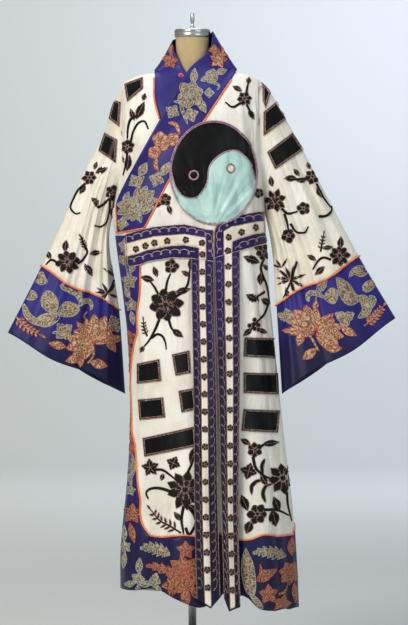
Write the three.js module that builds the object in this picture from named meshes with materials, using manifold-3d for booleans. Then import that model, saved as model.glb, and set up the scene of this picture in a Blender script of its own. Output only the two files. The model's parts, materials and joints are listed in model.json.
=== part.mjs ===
// A wide-sleeved stage robe hanging on a limbless dress form with a round stand.
// Millimetres, +Z up. The origin is on the floor under the stand's pole, and the robe faces -Y.
// +X is the wearer's left. The cloth hangs from the form's shoulders.
import * as THREE from 'three';
import { mergeVertices } from 'three/addons/utils/BufferGeometryUtils.js';
import Module from 'manifold-3d';

// Driving dimensions.
const clothWall = 2; // lined satin panel
const trimWall = 1.5; // collar, borders, sash
const patchWall = 1.2; // padded applique
const seam = 0.5; // gap between two pieces that are sewn together
const lift = 0.8; // gap under a piece that lies on another
const bustHeight = 1290;
const armpitHeight = 1200;
const shoulderRise = 338; // cloth length from the bust up to the shoulder fold
const shoulderFold = bustHeight + shoulderRise;
const ridgeHeight = 1586;
const sideAngle = 90;
const armholeAngle = 68;
const outerLayer = 4.2; // how far the outer front lies off the innermost cloth
const poleRadius = 11;
const baseRadius = 195;
const formBottom = 850;

// Sections of the robe's inner face, from the bust down.
const bodySections = [
  { z: 1290, left: -200, right: 186, front: 140, back: 101 },
  { z: 1200, left: -211, right: 190, front: 138, back: 96 },
  { z: 1127, left: -200, right: 194, front: 133, back: 92 },
  { z: 965, left: -178, right: 204, front: 130, back: 112 },
  { z: 850, left: -166, right: 215, front: 138, back: 124 },
  { z: 722, left: -161, right: 228, front: 146, back: 130 },
  { z: 614, left: -160, right: 240, front: 152, back: 136 },
  { z: 452, left: -171, right: 260, front: 162, back: 148 },
  { z: 290, left: -186, right: 273, front: 174, back: 160 },
  { z: 120, left: -186, right: 281, front: 184, back: 170 },
];

// Soft folds of the body: middle and half-width in degrees, depth off the section (minus goes in).
const bodyFolds = [
  { angle: 9, spread: 15, depth: -34, top: 1150, full: 420, foot: 0 },
  { angle: -14, spread: 16, depth: 17, top: 950, full: 180, foot: 0 },
  { angle: -44, spread: 15, depth: -15, top: 800, full: 200, foot: 0 },
  { angle: 36, spread: 18, depth: 13, top: 850, full: 260, foot: 0 },
  { angle: 64, spread: 13, depth: -9, top: 620, full: 200, foot: 0 },
  { angle: 8, spread: 9, depth: -9, top: 1330, full: 1160, foot: 1040 },
  { angle: -11, spread: 9, depth: 5, top: 1300, full: 1160, foot: 1040 },
  { angle: 30, spread: 10, depth: 4, top: 1330, full: 1180, foot: 1020 },
  { angle: 140, spread: 17, depth: 15, top: 1150, full: 240, foot: 0 },
  { angle: 166, spread: 13, depth: -16, top: 1180, full: 300, foot: 0 },
  { angle: 192, spread: 14, depth: 16, top: 1180, full: 220, foot: 0 },
  { angle: 218, spread: 14, depth: -15, top: 1100, full: 260, foot: 0 },
  { angle: 243, spread: 13, depth: 11, top: 1000, full: 200, foot: 0 },
];

// Height of the hem round the body.
const hemLine = [
  { angle: -90, z: 186 },
  { angle: -60, z: 188 },
  { angle: -32, z: 203 },
  { angle: -10, z: 168 },
  { angle: 8, z: 192 },
  { angle: 30, z: 146 },
  { angle: 52, z: 150 },
  { angle: 75, z: 138 },
  { angle: 90, z: 137 },
  { angle: 140, z: 150 },
  { angle: 190, z: 165 },
  { angle: 235, z: 176 },
  { angle: 270, z: 186 },
];

// Free edges of the two fronts, seen from the front as x and z.
const closureCut = [
  [-230, 1194], [-212, 1202], [-99, 1362], [-30, 1450], [16, 1480], [50, 1512], [82, 1550],
  [104, 1586], [104, 1700],
  [400, 1700], [400, 0], [-400, 0], [-400, 1194],
];
const innerCut = [
  [-400, 0], [70, 0], [60, 1160], [62, 1362], [20, 1450], [-40, 1490], [-76, 1536], [-90, 1588],
  [-90, 1700],
  [-400, 1700],
];

// Sleeves: the top fold and the underarm seam, from the armhole to the cuff's edge.
const sleeves = {
  left: {
    sign: 1,
    cuffStart: 0.738,
    fold: [
      { w: 0, x: 180, z: 1560, y: 0 },
      { w: 0.06, x: 212, z: 1528, y: 0 },
      { w: 0.12, x: 232, z: 1490, y: 0 },
      { w: 0.3, x: 299, z: 1368, y: 0 },
      { w: 0.5, x: 367, z: 1237, y: -4 },
      { w: 0.738, x: 449, z: 1083, y: -8 },
      { w: 1, x: 548, z: 916, y: -12 },
    ],
    underarm: [
      { w: 0, x: 196, z: 1200, y: 0 },
      { w: 0.3, x: 214, z: 1105, y: -8 },
      { w: 0.738, x: 226, z: 950, y: -46 },
      { w: 1, x: 240, z: 714, y: -84 },
    ],
  },
  right: {
    sign: -1,
    cuffStart: 0.728,
    fold: [
      { w: 0, x: -184, z: 1556, y: 0 },
      { w: 0.06, x: -208, z: 1510, y: 0 },
      { w: 0.19, x: -239, z: 1416, y: 0 },
      { w: 0.33, x: -284, z: 1329, y: 0 },
      { w: 0.47, x: -327, z: 1230, y: -4 },
      { w: 0.728, x: -407, z: 1057, y: -8 },
      { w: 1, x: -498, z: 877, y: -12 },
    ],
    underarm: [
      { w: 0, x: -217, z: 1200, y: 0 },
      { w: 0.3, x: -224, z: 1110, y: 6 },
      { w: 0.728, x: -198, z: 938, y: 20 },
      { w: 1, x: -182, z: 712, y: 30 },
    ],
  },
};

// How far a sleeve stands out to the front and to the back, and how its sections wave.
const sleeveBulge = [
  { w: 0, front: 46, back: 60 },
  { w: 0.15, front: 56, back: 58 },
  { w: 0.4, front: 50, back: 50 },
  { w: 0.74, front: 46, back: 44 },
  { w: 1, front: 52, back: 46 },
];
const sleeveFolds = [
  { at: 0.3, spread: 0.2, depth: 7, from: 0.1, full: 0.6, to: 1.5 },
  { at: 0.62, spread: 0.17, depth: -12, from: 0.05, full: 0.45, to: 1.6 },
  { at: 0.84, spread: 0.13, depth: 9, from: 0.05, full: 0.4, to: 1.3 },
];
const cuffWave = 11; // how far the cuff's edge waves up and down

const wasm = await Module();
wasm.setup();

const radians = (degrees) => (degrees * Math.PI) / 180;
const clamp = (value, low = 0, high = 1) => Math.min(high, Math.max(low, value));
const mix = (a, b, share) => a + (b - a) * share;
const smooth = (share) => {
  const c = clamp(share);
  return c * c * (3 - 2 * c);
};
const signedPower = (value, power) => Math.sign(value) * Math.abs(value) ** power;

// Value of a named column at a place along a table, on a smooth curve through its rows.
function along(rows, key, at, column) {
  const rising = rows[0][key] < rows[rows.length - 1][key];
  const list = rising ? rows : [...rows].reverse();
  const place = clamp(at, list[0][key], list[list.length - 1][key]);
  let i = 0;
  while (i < list.length - 2 && place > list[i + 1][key]) i += 1;
  const [a, b] = [list[i], list[i + 1]];
  const span = b[key] - a[key];
  const slope = (j) => {
    const [p, q] = [list[Math.max(0, j - 1)], list[Math.min(list.length - 1, j + 1)]];
    return (q[column] - p[column]) / (q[key] - p[key]);
  };
  const s = (place - a[key]) / span;
  const [s2, s3] = [s * s, s * s * s];
  return (
    (2 * s3 - 3 * s2 + 1) * a[column] +
    (s3 - 2 * s2 + s) * span * slope(i) +
    (3 * s2 - 2 * s3) * b[column] +
    (s3 - s2) * span * slope(i + 1)
  );
}

// Height of the shoulder fold over a given x.
function ridge(x) {
  const out = Math.abs(x);
  return ridgeHeight - 0.1 * out - 0.004 * Math.max(0, out - 120) ** 2;
}

// Point of the robe's inner face. angle: 0 is the centre front, 90 the wearer's left side.
// t is the height below the bust, and the cloth's own length above it.
function bodyPoint(angle, t, sections = bodySections, folded = true) {
  const [sin, cos] = [Math.sin(radians(angle)), Math.cos(radians(angle))];
  const z = Math.min(t, bustHeight);
  const read = (column) => along(sections, 'z', z, column);
  const [left, right] = [read('left'), read('right')];
  const x = (left + right) / 2 + ((right - left) / 2) * signedPower(sin, 0.9);
  const depth = cos >= 0 ? read('front') : read('back');
  let y = -depth * signedPower(cos, 0.85);
  let height = t;
  if (t > bustHeight) {
    const roundness = cos >= 0 ? 1 : 0.77;
    const turn = radians(90 * (1 - (t - bustHeight) / shoulderRise));
    y *= Math.abs(Math.sin(turn)) ** roundness;
    height = bustHeight + (ridge(x) - bustHeight) * Math.cos(turn) ** roundness;
  }
  const point = new THREE.Vector3(x, y, height);
  return folded ? point.addScaledVector(bodyNormal(angle, t, sections), foldDepth(angle, t)) : point;
}

function foldDepth(angle, t) {
  const turn = ((angle % 360) + 450) % 360 - 90;
  let depth = 0;
  for (const fold of bodyFolds) {
    const off = Math.abs(turn - fold.angle) / fold.spread;
    if (off >= 1 || t > fold.top) continue;
    const grown = smooth((fold.top - t) / (fold.top - fold.full));
    const kept = fold.foot ? smooth((t - fold.foot) / (fold.full - fold.foot)) : 1;
    depth += fold.depth * grown * kept * 0.5 * (1 + Math.cos(Math.PI * off));
  }
  return depth;
}

// Outward normal of a surface given as a function of two parameters.
function normalOf(surface, a, b, stepA, stepB) {
  const across = surface(a + stepA, b).sub(surface(a - stepA, b));
  const up = surface(a, b + stepB).sub(surface(a, b - stepB));
  return across.cross(up).normalize();
}

function bodyNormal(angle, t, sections = bodySections, folded = false) {
  const height = Math.min(t, shoulderFold - 3);
  const shape = (a, b) => bodyPoint(a, b, sections, folded);
  return normalOf(shape, angle, height, 0.7, 2.5);
}

// Angle of the point of the front that lies at x.
function angleAt(x, t) {
  const z = Math.min(t, bustHeight);
  const [left, right] = [along(bodySections, 'z', z, 'left'), along(bodySections, 'z', z, 'right')];
  const share = clamp((x - (left + right) / 2) / ((right - left) / 2), -0.9999, 0.9999);
  return THREE.MathUtils.radToDeg(Math.asin(signedPower(share, 1 / 0.9)));
}

// Cloth length t of the point of the front at x that lies at height z.
function clothHeight(x, z) {
  if (z <= bustHeight) return z;
  const share = clamp((z - bustHeight) / (ridge(x) - bustHeight));
  return bustHeight + shoulderRise * (1 - THREE.MathUtils.radToDeg(Math.acos(share)) / 90);
}

const onFront = (x, z) => {
  const t = clothHeight(x, z);
  return { angle: angleAt(x, t), t };
};

const hemHeight = (angle) => along(hemLine, 'angle', angle, 'z');

// Angle of the armhole's edge at a cloth height; it closes at the armpit.
function armholeEdge(t) {
  return mix(sideAngle, armholeAngle, smooth((t - armpitHeight) / 150));
}

// One closed wall from a grid of faces: inner and outer points, rims closed. Equal points merge.
function wallGeometry(inner, outer, ring = false) {
  const [rows, cols] = [outer.length, outer[0].length];
  const positions = [];
  for (const layer of [outer, inner]) {
    for (const row of layer) for (const p of row) positions.push(p.x, p.y, p.z);
  }
  const at = (layer, j, i) => layer * rows * cols + j * cols + (i % cols);
  const faces = [];
  const quad = (a, b, c, d) => faces.push([a, b, c], [a, c, d]);
  const spans = ring ? cols : cols - 1;
  for (let j = 0; j < rows - 1; j += 1) {
    for (let i = 0; i < spans; i += 1) {
      quad(at(0, j, i), at(0, j + 1, i), at(0, j + 1, i + 1), at(0, j, i + 1));
      quad(at(1, j, i), at(1, j, i + 1), at(1, j + 1, i + 1), at(1, j + 1, i));
    }
  }
  for (let i = 0; i < spans; i += 1) {
    quad(at(0, 0, i), at(0, 0, i + 1), at(1, 0, i + 1), at(1, 0, i));
    quad(at(0, rows - 1, i), at(1, rows - 1, i), at(1, rows - 1, i + 1), at(0, rows - 1, i + 1));
  }
  if (!ring) {
    for (let j = 0; j < rows - 1; j += 1) {
      quad(at(0, j, 0), at(1, j, 0), at(1, j + 1, 0), at(0, j + 1, 0));
      quad(at(0, j, cols - 1), at(0, j + 1, cols - 1), at(1, j + 1, cols - 1), at(1, j, cols - 1));
    }
  }
  return closedGeometry(positions, faces);
}

// A BufferGeometry from points and faces, with points that coincide made one.
function closedGeometry(positions, faces) {
  const raw = new THREE.BufferGeometry();
  raw.setAttribute('position', new THREE.BufferAttribute(new Float32Array(positions), 3));
  raw.setIndex(faces.flat());
  const merged = mergeVertices(raw, 1e-3);
  const index = merged.index.array;
  const kept = [];
  for (let i = 0; i < index.length; i += 3) {
    const [a, b, c] = [index[i], index[i + 1], index[i + 2]];
    if (a !== b && b !== c && a !== c) kept.push(a, b, c);
  }
  merged.setIndex(kept);
  const solid = solidOf(merged);
  if (solid.volume() < 0) {
    for (let i = 0; i < kept.length; i += 3) [kept[i + 1], kept[i + 2]] = [kept[i + 2], kept[i + 1]];
    merged.setIndex(kept);
  }
  return merged;
}

function solidOf(geometry) {
  const vertProperties = new Float32Array(geometry.getAttribute('position').array);
  const triVerts = new Uint32Array(geometry.index.array);
  return new wasm.Manifold(new wasm.Mesh({ numProp: 3, vertProperties, triVerts }));
}

function geometryOf(solid) {
  const mesh = solid.simplify(0.05).getMesh();
  const geometry = new THREE.BufferGeometry();
  geometry.setAttribute('position', new THREE.BufferAttribute(mesh.vertProperties, 3));
  geometry.setIndex(new THREE.BufferAttribute(mesh.triVerts, 1));
  return geometry;
}

// A solid that stands behind an outline of x and z, from the front to the back of the robe.
function prism(outline, grow = 0) {
  let section = new wasm.CrossSection([outline], 'NonZero');
  if (section.area() < 1) section = new wasm.CrossSection([[...outline].reverse()], 'NonZero');
  if (grow) section = section.offset(grow, 'Round');
  return section.extrude(1200).translate([0, 0, -600]).rotate([90, 0, 0]);
}

function largest(solid) {
  return solid.decompose().sort((a, b) => b.volume() - a.volume())[0];
}

// A ribbon beside a path of x and z, between two distances to its left.
function ribbon(path, from, to) {
  const side = (off) =>
    path.map(([x, z], i) => {
      const [a, b] = [path[Math.max(0, i - 1)], path[Math.min(path.length - 1, i + 1)]];
      const length = Math.hypot(b[0] - a[0], b[1] - a[1]);
      return [x - ((b[1] - a[1]) / length) * off, z + ((b[0] - a[0]) / length) * off];
    });
  return [...side(from), ...side(to).reverse()];
}

// Rows and columns of a surface as a wall between two distances off it.
function sheet(rows, cols, place, low, high, ring = false) {
  const layer = (off) =>
    Array.from({ length: rows }, (_, j) =>
      Array.from({ length: cols }, (_, i) => {
        const { point, normal } = place(j / (rows - 1), ring ? i / cols : i / (cols - 1), j, i);
        return point.clone().addScaledVector(normal, off);
      }),
    );
  return wallGeometry(layer(low), layer(high), ring);
}

const satin = (colour) =>
  new THREE.MeshStandardMaterial({ color: colour, roughness: 0.45, metalness: 0 });
const materials = {
  cream: satin(0xe9e4d0),
  blue: satin(0x2f2c7c),
  orange: satin(0xe08038),
  black: new THREE.MeshStandardMaterial({ color: 0x17191a, roughness: 0.6, metalness: 0 }),
  teal: satin(0xa9d6cf),
  pink: satin(0xd0567c),
  linen: new THREE.MeshStandardMaterial({ color: 0xd6be93, roughness: 0.85, metalness: 0 }),
  steel: new THREE.MeshStandardMaterial({ color: 0xb9bdbd, roughness: 0.25, metalness: 1 }),
  iron: new THREE.MeshStandardMaterial({ color: 0x2b2c2e, roughness: 0.5, metalness: 0.6 }),
};

const robe = new THREE.Group();
const carriers = {}; // meshes that other pieces lie on

function add(name, geometry, material) {
  const mesh = new THREE.Mesh(geometry, material);
  mesh.name = name;
  mesh.updateMatrixWorld(true);
  mesh.geometry.computeBoundingSphere();
  carriers[name] = mesh;
  robe.add(mesh);
  return mesh;
}

// The y of the first face that a line from the front meets at x and z, or null.
const ray = new THREE.Raycaster();
function frontY(x, z, names) {
  ray.set(new THREE.Vector3(x, -500, z), new THREE.Vector3(0, 1, 0));
  const hits = names.flatMap((name) => ray.intersectObject(carriers[name], false));
  return hits.length ? Math.min(...hits.map((hit) => hit.point.y)) : null;
}

const bodyPlace = (angle, t) => ({
  point: bodyPoint(angle, t),
  normal: bodyNormal(angle, t, bodySections, true),
});

// Rows and columns that all body panels share, so that layers stay parallel.
const armholeRows = 10;
const skirtRows = 10;
const bodyRows = armholeRows + skirtRows + 1;
const frontAngles = [
  -90, -81, -72, -63, -54, -44, -36, -28, -20, -14, -7, 0, 8, 17, 26, 36, 45, 54, 64, 74, 82, 90,
];
const backAngles = [
  90, 104, 120, 131, 142, 154, 166, 175, 180, 186, 192, 205, 218, 230, 243, 257, 270,
];
const armholeHeight = (share) =>
  Math.min(mix(shoulderFold, armpitHeight, share ** 0.86), shoulderFold - seam);
function rowHeight(j, angle) {
  if (j <= armholeRows) return armholeHeight(j / armholeRows);
  return mix(armpitHeight, hemHeight(angle), (j - armholeRows) / skirtRows);
}

// A panel between two edges, each an angle at a cloth height, as a wall between two distances.
function bodyPanel(angles, rightEdge, leftEdge, low, high, layerAt = () => 0) {
  const place = (v, u, j, i) => {
    const t = rowHeight(j, angles[i]);
    const angle = clamp(angles[i], rightEdge(t), leftEdge(t));
    const { point, normal } = bodyPlace(angle, rowHeight(j, angle));
    return { point: point.addScaledVector(normal, layerAt(angle)), normal };
  };
  return sheet(bodyRows, angles.length, place, low, high);
}

const seamAngle = 0.15; // half of a seam's gap, as an angle of the body
const shells = {}; // shell of a carrier between two distances, as a solid

const fullFront = (low, high) =>
  bodyPanel(
    frontAngles,
    (t) => -armholeEdge(t) + seamAngle,
    (t) => armholeEdge(t) - seamAngle,
    low,
    high,
  );
shells.outer = (low, high) =>
  solidOf(fullFront(outerLayer + low, outerLayer + high)).intersect(prism(closureCut));
shells.inner = (low, high) => solidOf(fullFront(low, high)).intersect(prism(innerCut));
add('front_outer', geometryOf(shells.outer(0, clothWall)), materials.cream);
add('front_inner', geometryOf(shells.inner(0, clothWall)), materials.cream);

// The back in two halves; its layer eases from the outer front's to the inner front's.
const backArmhole = (t) => 2 * sideAngle - armholeEdge(t);
const backLayer = (angle) => outerLayer * smooth((270 - angle) / 180);
const backHalf = {
  left: (low, high) =>
    bodyPanel(
      backAngles,
      (t) => backArmhole(t) + seamAngle,
      () => 180 - seamAngle,
      low,
      high,
      backLayer,
    ),
  right: (low, high) =>
    bodyPanel(
      backAngles,
      () => 180 + seamAngle,
      (t) => 360 - backArmhole(t) - seamAngle,
      low,
      high,
      backLayer,
    ),
};
const neckHole = wasm.Manifold.cylinder(400, 1, 1, 40).scale([90, 64, 1]).translate([0, 0, 1400]);
shells.backLeft = (low, high) => solidOf(backHalf.left(low, high)).subtract(neckHole);
shells.backRight = (low, high) => solidOf(backHalf.right(low, high)).subtract(neckHole);
add('back_left', geometryOf(shells.backLeft(0, clothWall)), materials.cream);
add('back_right', geometryOf(shells.backRight(0, clothWall)), materials.cream);

// Sleeves. k runs round a section: 0 the top fold, 0.5 the underarm seam, front first.
function armholePoint(sleeve, k, off) {
  const front = k <= 0.5;
  const t = armholeHeight(front ? k * 2 : (1 - k) * 2);
  const edge = armholeEdge(t);
  const { point, normal } = bodyPlace(sleeve.sign * (front ? edge : 180 - edge), t);
  point.addScaledVector(normal, (sleeve.sign > 0 ? outerLayer : 0) + off);
  return point;
}

function freeSleevePoint(sleeve, w, k) {
  const read = (rows, column) => along(rows, 'w', w, column);
  const top = new THREE.Vector3(...['x', 'y', 'z'].map((c) => read(sleeve.fold, c)));
  const low = new THREE.Vector3(...['x', 'y', 'z'].map((c) => read(sleeve.underarm, c)));
  const front = k <= 0.5;
  const share = front ? k * 2 : (1 - k) * 2;
  const bulge = read(sleeveBulge, front ? 'front' : 'back');
  const lens = Math.sin(Math.PI * share) ** 0.72;
  const point = top.clone().lerp(low, share);
  let out = bulge * lens;
  for (const fold of sleeveFolds) {
    const off = Math.abs(share - fold.at) / fold.spread;
    if (off >= 1) continue;
    const grown = smooth((w - fold.from) / (fold.full - fold.from));
    const kept = 1 - smooth((w - fold.full) / (fold.to - fold.full));
    out += fold.depth * grown * kept * 0.5 * (1 + Math.cos(Math.PI * off));
  }
  point.y += front ? -out : out;
  const wave = cuffWave * Math.sin(2 * Math.PI * share - 0.5) * smooth((w - 0.3) / 0.5);
  point.z -= (front ? 1 : -0.6) * wave * Math.sin(Math.PI * share);
  return point;
}

const startBlend = 0.14;
function sleevePoint(sleeve, w, k) {
  const free = freeSleevePoint(sleeve, w, k);
  if (w >= startBlend) return free;
  return armholePoint(sleeve, k, 0).lerp(free, Math.sin((Math.PI / 2) * (w / startBlend)));
}

function sleevePlace(sleeve, w, k) {
  const shape = (a, b) => sleevePoint(sleeve, a, ((b % 1) + 1) % 1);
  const normal = normalOf(shape, clamp(w, 0.006, 0.994), k, 0.005, 0.008);
  return { point: shape(w, k), normal: normal.multiplyScalar(sleeve.sign) };
}

const ringPoints = 2 * armholeRows;
function sleeveWall(sleeve, stations, low, high, ring = true) {
  const layer = (off) =>
    stations.map((w) =>
      Array.from({ length: ring ? ringPoints : armholeRows + 1 }, (_, i) => {
        const k = i / ringPoints;
        if (w > 0) {
          const { point, normal } = sleevePlace(sleeve, w, k);
          return point.addScaledVector(normal, off);
        }
        const point = armholePoint(sleeve, k, off);
        point.x += sleeve.sign * 2 * seam;
        return point;
      }),
    );
  return wallGeometry(layer(low), layer(high), ring);
}

for (const [side, sleeve] of Object.entries(sleeves)) {
  const edge = sleeve.cuffStart;
  const stations = [0, 0.05, 0.12, 0.22, 0.36, 0.5, 0.62, edge - 0.0012];
  let tube = solidOf(sleeveWall(sleeve, stations, 0, clothWall));
  for (const shell of ['outer', 'inner', 'backLeft', 'backRight']) {
    const panel = shells[shell](-1, clothWall + 0.4);
    for (const [x, y] of [[0, 0], [1, 0], [0.5, 1], [0.5, -1]]) {
      tube = tube.subtract(panel.translate([sleeve.sign * seam * x, seam * y, 0]));
    }
  }
  tube = largest(tube);
  add(`sleeve_${side}`, geometryOf(tube), materials.cream);
  shells[`sleeve_${side}`] = (low, high) =>
    solidOf(sleeveWall(sleeve, stations, low, high, false));
  const cuffStations = [0, 0.25, 0.5, 0.75, 1].map((s) => mix(edge, 1, s));
  add(`cuff_${side}`, sleeveWall(sleeve, cuffStations, 0, clothWall), materials.blue);
  const piping = [edge - 0.009, edge + 0.009];
  add(`piping_cuff_${side}`, sleeveWall(sleeve, piping, 2.6, 3.9), materials.orange);
}

// Pieces that lie on a panel: its own facets moved out, cut to an outline of x and z.
function onPanel(name, shell, outline, low, high, material) {
  add(name, geometryOf(largest(shells[shell](low, high).intersect(prism(outline)))), material);
}

const trimLow = clothWall + lift;
const trimHigh = trimLow + trimWall;
const patchHigh = trimLow + patchWall;

// Blue border down the free side and along the hem, with its orange piping.
const borderEdge = [
  [-134, 1139], [-137, 1049], [-141, 933], [-150, 857], [-156, 800], [-154, 644], [-145, 541],
  [-141, 425], [-131, 363], [-106, 336], [-75, 331], [-21, 336], [18, 333], [75, 341], [129, 325],
  [157, 325], [188, 336], [223, 329], [258, 348], [300, 420],
];
onPanel(
  'border_front',
  'outer',
  [...borderEdge, [400, 420], [400, 0], [-400, 0], [-400, 1139]],
  trimLow,
  trimHigh,
  materials.blue,
);
const pipingPath = borderEdge.slice(1, -1);
onPanel('piping_border', 'outer', ribbon(pipingPath, 0.5, 5), trimLow, trimHigh, materials.orange);
for (const [side, sign] of [['left', 1], ['right', -1]]) {
  const edge = [
    [0, 352], [sign * 100, 346], [sign * 190, 350], [sign * 235, 380], [sign * 300, 470],
  ];
  const outline = [...edge, [sign * 400, 470], [sign * 400, 0], [0, 0]];
  const shell = side === 'left' ? 'backLeft' : 'backRight';
  onPanel(`border_back_${side}`, shell, outline, trimLow, trimHigh, materials.blue);
}

// The sash in two halves; each turns down into a hanging streamer.
const sashLow = 5.2;
const sashes = {
  right: [
    [-177, 1141], [-102, 1160], [-20, 1166], [31, 1154], [56, 1151], [58, 1068], [-4, 1076],
    [-52, 1078], [-119, 1068], [-136, 1060], [-173, 1054],
  ],
  left: [
    [60, 1156], [66, 1162], [104, 1186], [169, 1200], [192, 1203], [193, 1150], [202, 1119],
    [129, 1097], [60, 1078],
  ],
};
for (const [side, outline] of Object.entries(sashes)) {
  const low = side === 'right' ? sashLow : trimLow;
  onPanel(`sash_${side}`, 'outer', outline, low, low + trimWall, materials.blue);
}

// Streamers hang freely: edges, top and foot, and the point's tip.
const streamers = [
  { side: 'right', x1: -2, x2: 57.6, z1: 1075.3, z2: 1067.6, foot: [10, 72, 169, 177], tip: [47, 147] },
  { side: 'left', x1: 60.4, x2: 127, z1: 1077.7, z2: 1096, foot: [82, 125, 174, 151], tip: [95, 139] },
];
for (const { side, x1, x2, z1, z2, foot, tip } of streamers) {
  const [fx1, fx2, fz1, fz2] = foot;
  const tipShare = (tip[0] - fx1) / (fx2 - fx1);
  const shares = [0, tipShare / 2, tipShare, (1 + tipShare) / 2, 1];
  const place = (v, _, j, i) => {
    const u = shares[i];
    const towards = u < tipShare ? u / tipShare : (1 - u) / (1 - tipShare);
    const bottom = mix(u < tipShare ? fz1 : fz2, tip[1], towards);
    const top = mix(z1, z2, u);
    const x = mix(mix(x1, x2, u), mix(fx1, fx2, u), smooth(v * 1.15)) + 4 * Math.sin(7 * v) * v;
    const z = mix(top, bottom, v);
    const { angle, t } = onFront(x, z);
    const free = bodyPoint(angle, t, bodySections, false).y - outerLayer - 25;
    const hung = frontY(mix(x1 + 1, x2 - 1, u), top + 3, [`sash_${side}`]) + trimWall;
    const swung = mix(hung, free - 3 * Math.sin(9 * v + 4 * u), smooth(v * 4));
    const y = Math.min(swung, (frontY(x, z, ['front_outer']) ?? 0) - 2.4);
    return { point: new THREE.Vector3(x, y, z), normal: new THREE.Vector3(0, -1, 0) };
  };
  add(`streamer_${side}`, sheet(15, 5, place, 0, trimWall), materials.blue);
}

// Black bars on the shoulders, sleeves and skirts.
const bars = {
  inner: [[[-183, 1546], [-133, 1564], [-132, 1532], [-174, 1497]]],
  sleeve_right: [
    [[-212, 1505], [-192, 1497], [-196, 1430], [-224, 1454]],
    [[-236, 1416], [-202, 1396], [-206, 1333], [-252, 1367]],
  ],
  sleeve_left: [
    [[186, 1562], [212, 1532], [196, 1478], [188, 1500]],
    [[226, 1500], [255, 1454], [190, 1406], [190, 1470]],
    [[269, 1416], [299, 1370], [223, 1316], [201, 1362]],
  ],
  outer: [
    [[-147, 794], [-87, 807], [-82, 749], [-147, 741]],
    [[-54, 819], [-8, 830], [-4, 771], [-44, 763]],
    [[-144, 698], [-77, 705], [-71, 652], [-140, 644]],
    [[-36, 722], [4, 730], [10, 674], [-28, 665]],
    [[-132, 595], [6, 628], [10, 576], [-127, 546]],
    [[139, 865], [220, 862], [226, 808], [137, 814]],
    [[137, 771], [228, 768], [231, 711], [137, 717]],
    [[137, 674], [234, 668], [228, 609], [131, 617]],
  ],
};
for (const [shell, outlines] of Object.entries(bars)) {
  outlines.forEach((outline, i) => {
    onPanel(`bar_${shell}_${i + 1}`, shell, outline, trimLow, patchHigh, materials.black);
  });
}

// Collar bands: edge by the neck and outer edge, from the centre back round to the front end.
// A lie of 1 rests that edge on the fronts, 0 takes the height y from the table.
const collars = {
  outer: [
    { in: [0.3, 56, 1676, 0], out: [0.3, 78, 1546, 0] },
    { in: [28, 50, 1680, 0], out: [50, 72, 1552, 0] },
    { in: [48, 26, 1687, 0], out: [90, 50, 1570, 0] },
    { in: [54, 2, 1689, 0], out: [114, 16, 1584, 0] },
    { in: [52, -18, 1668, 0], out: [118, -10, 1584, 0] },
    { in: [46, -34, 1640, 0], out: [104, -40, 1556, 1] },
    { in: [28, -46, 1620, 0], out: [86, -50, 1529, 1] },
    { in: [8, -56, 1602, 0], out: [68, -60, 1501, 1] },
    { in: [-16, -62, 1575, 0.2], out: [46, -70, 1467, 1] },
    { in: [-40, -70, 1531, 1], out: [20, -90, 1426, 1] },
    { in: [-63, -90, 1490, 1], out: [-8, -110, 1378, 1] },
    { in: [-86, -100, 1448, 1], out: [-36, -120, 1330, 1] },
    { in: [-122, -110, 1384, 1], out: [-63, -130, 1284, 1] },
    { in: [-158, -120, 1319, 1], out: [-86, -130, 1238, 1] },
    { in: [-182, -100, 1275, 1], out: [-104, -130, 1202, 1] },
    { in: [-203, -60, 1222, 1], out: [-120, -120, 1172, 1] },
    { in: [-199, -60, 1147, 1], out: [-128, -110, 1159, 1] },
  ],
  under: [
    { in: [-0.3, 56, 1676, 0], out: [-0.3, 78, 1546, 0] },
    { in: [-28, 50, 1676, 0], out: [-50, 72, 1552, 0] },
    { in: [-48, 26, 1670, 0], out: [-84, 50, 1568, 0] },
    { in: [-54, 2, 1660, 0], out: [-100, 16, 1582, 0] },
    { in: [-48, -26, 1634, 0], out: [-101, -10, 1582, 0] },
    { in: [-34, -44, 1604, 0], out: [-100, -50, 1548, 1] },
    { in: [-16, -50, 1573, 0.4], out: [-100, -70, 1514, 1] },
    { in: [8, -60, 1530, 1], out: [-94, -80, 1480, 1] },
    { in: [30, -80, 1490, 1], out: [-82, -90, 1440, 1] },
  ],
};

// A band through such rows, as a solid; base is the distance of the cloth it rests on.
function collarBand(rows, carrier, base, low, high) {
  const cols = 5;
  const grid = rows.map((row) =>
    Array.from({ length: cols }, (_, i) => {
      const share = i / (cols - 1);
      const [x, y, z, lie] = row.out.map((value, c) => mix(value, row.in[c], share));
      const point = new THREE.Vector3(x, y, z);
      if (lie > 0) {
        const { angle, t } = onFront(x, Math.min(z, ridge(x) - 1));
        const { point: rest, normal } = bodyPlace(angle, t);
        rest.addScaledVector(normal, base);
        point.y = mix(y, frontY(x, z, [carrier]) ?? rest.y, Math.min(1, 1.6 * lie));
      }
      return point;
    }),
  );
  const facing = (j, i) => {
    const [a, b] = [Math.max(0, j - 1), Math.min(rows.length - 1, j + 1)];
    const [c, d] = [Math.max(0, i - 1), Math.min(cols - 1, i + 1)];
    const alongBand = grid[b][i].clone().sub(grid[a][i]);
    return alongBand.cross(grid[j][d].clone().sub(grid[j][c])).normalize();
  };
  const middle = facing(rows.length - 3, 1);
  const sign = middle.y < 0 ? 1 : -1;
  const layer = (off) =>
    grid.map((row, j) => row.map((p, i) => p.clone().addScaledVector(facing(j, i), sign * off)));
  return solidOf(wallGeometry(layer(low), layer(high)));
}

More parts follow.
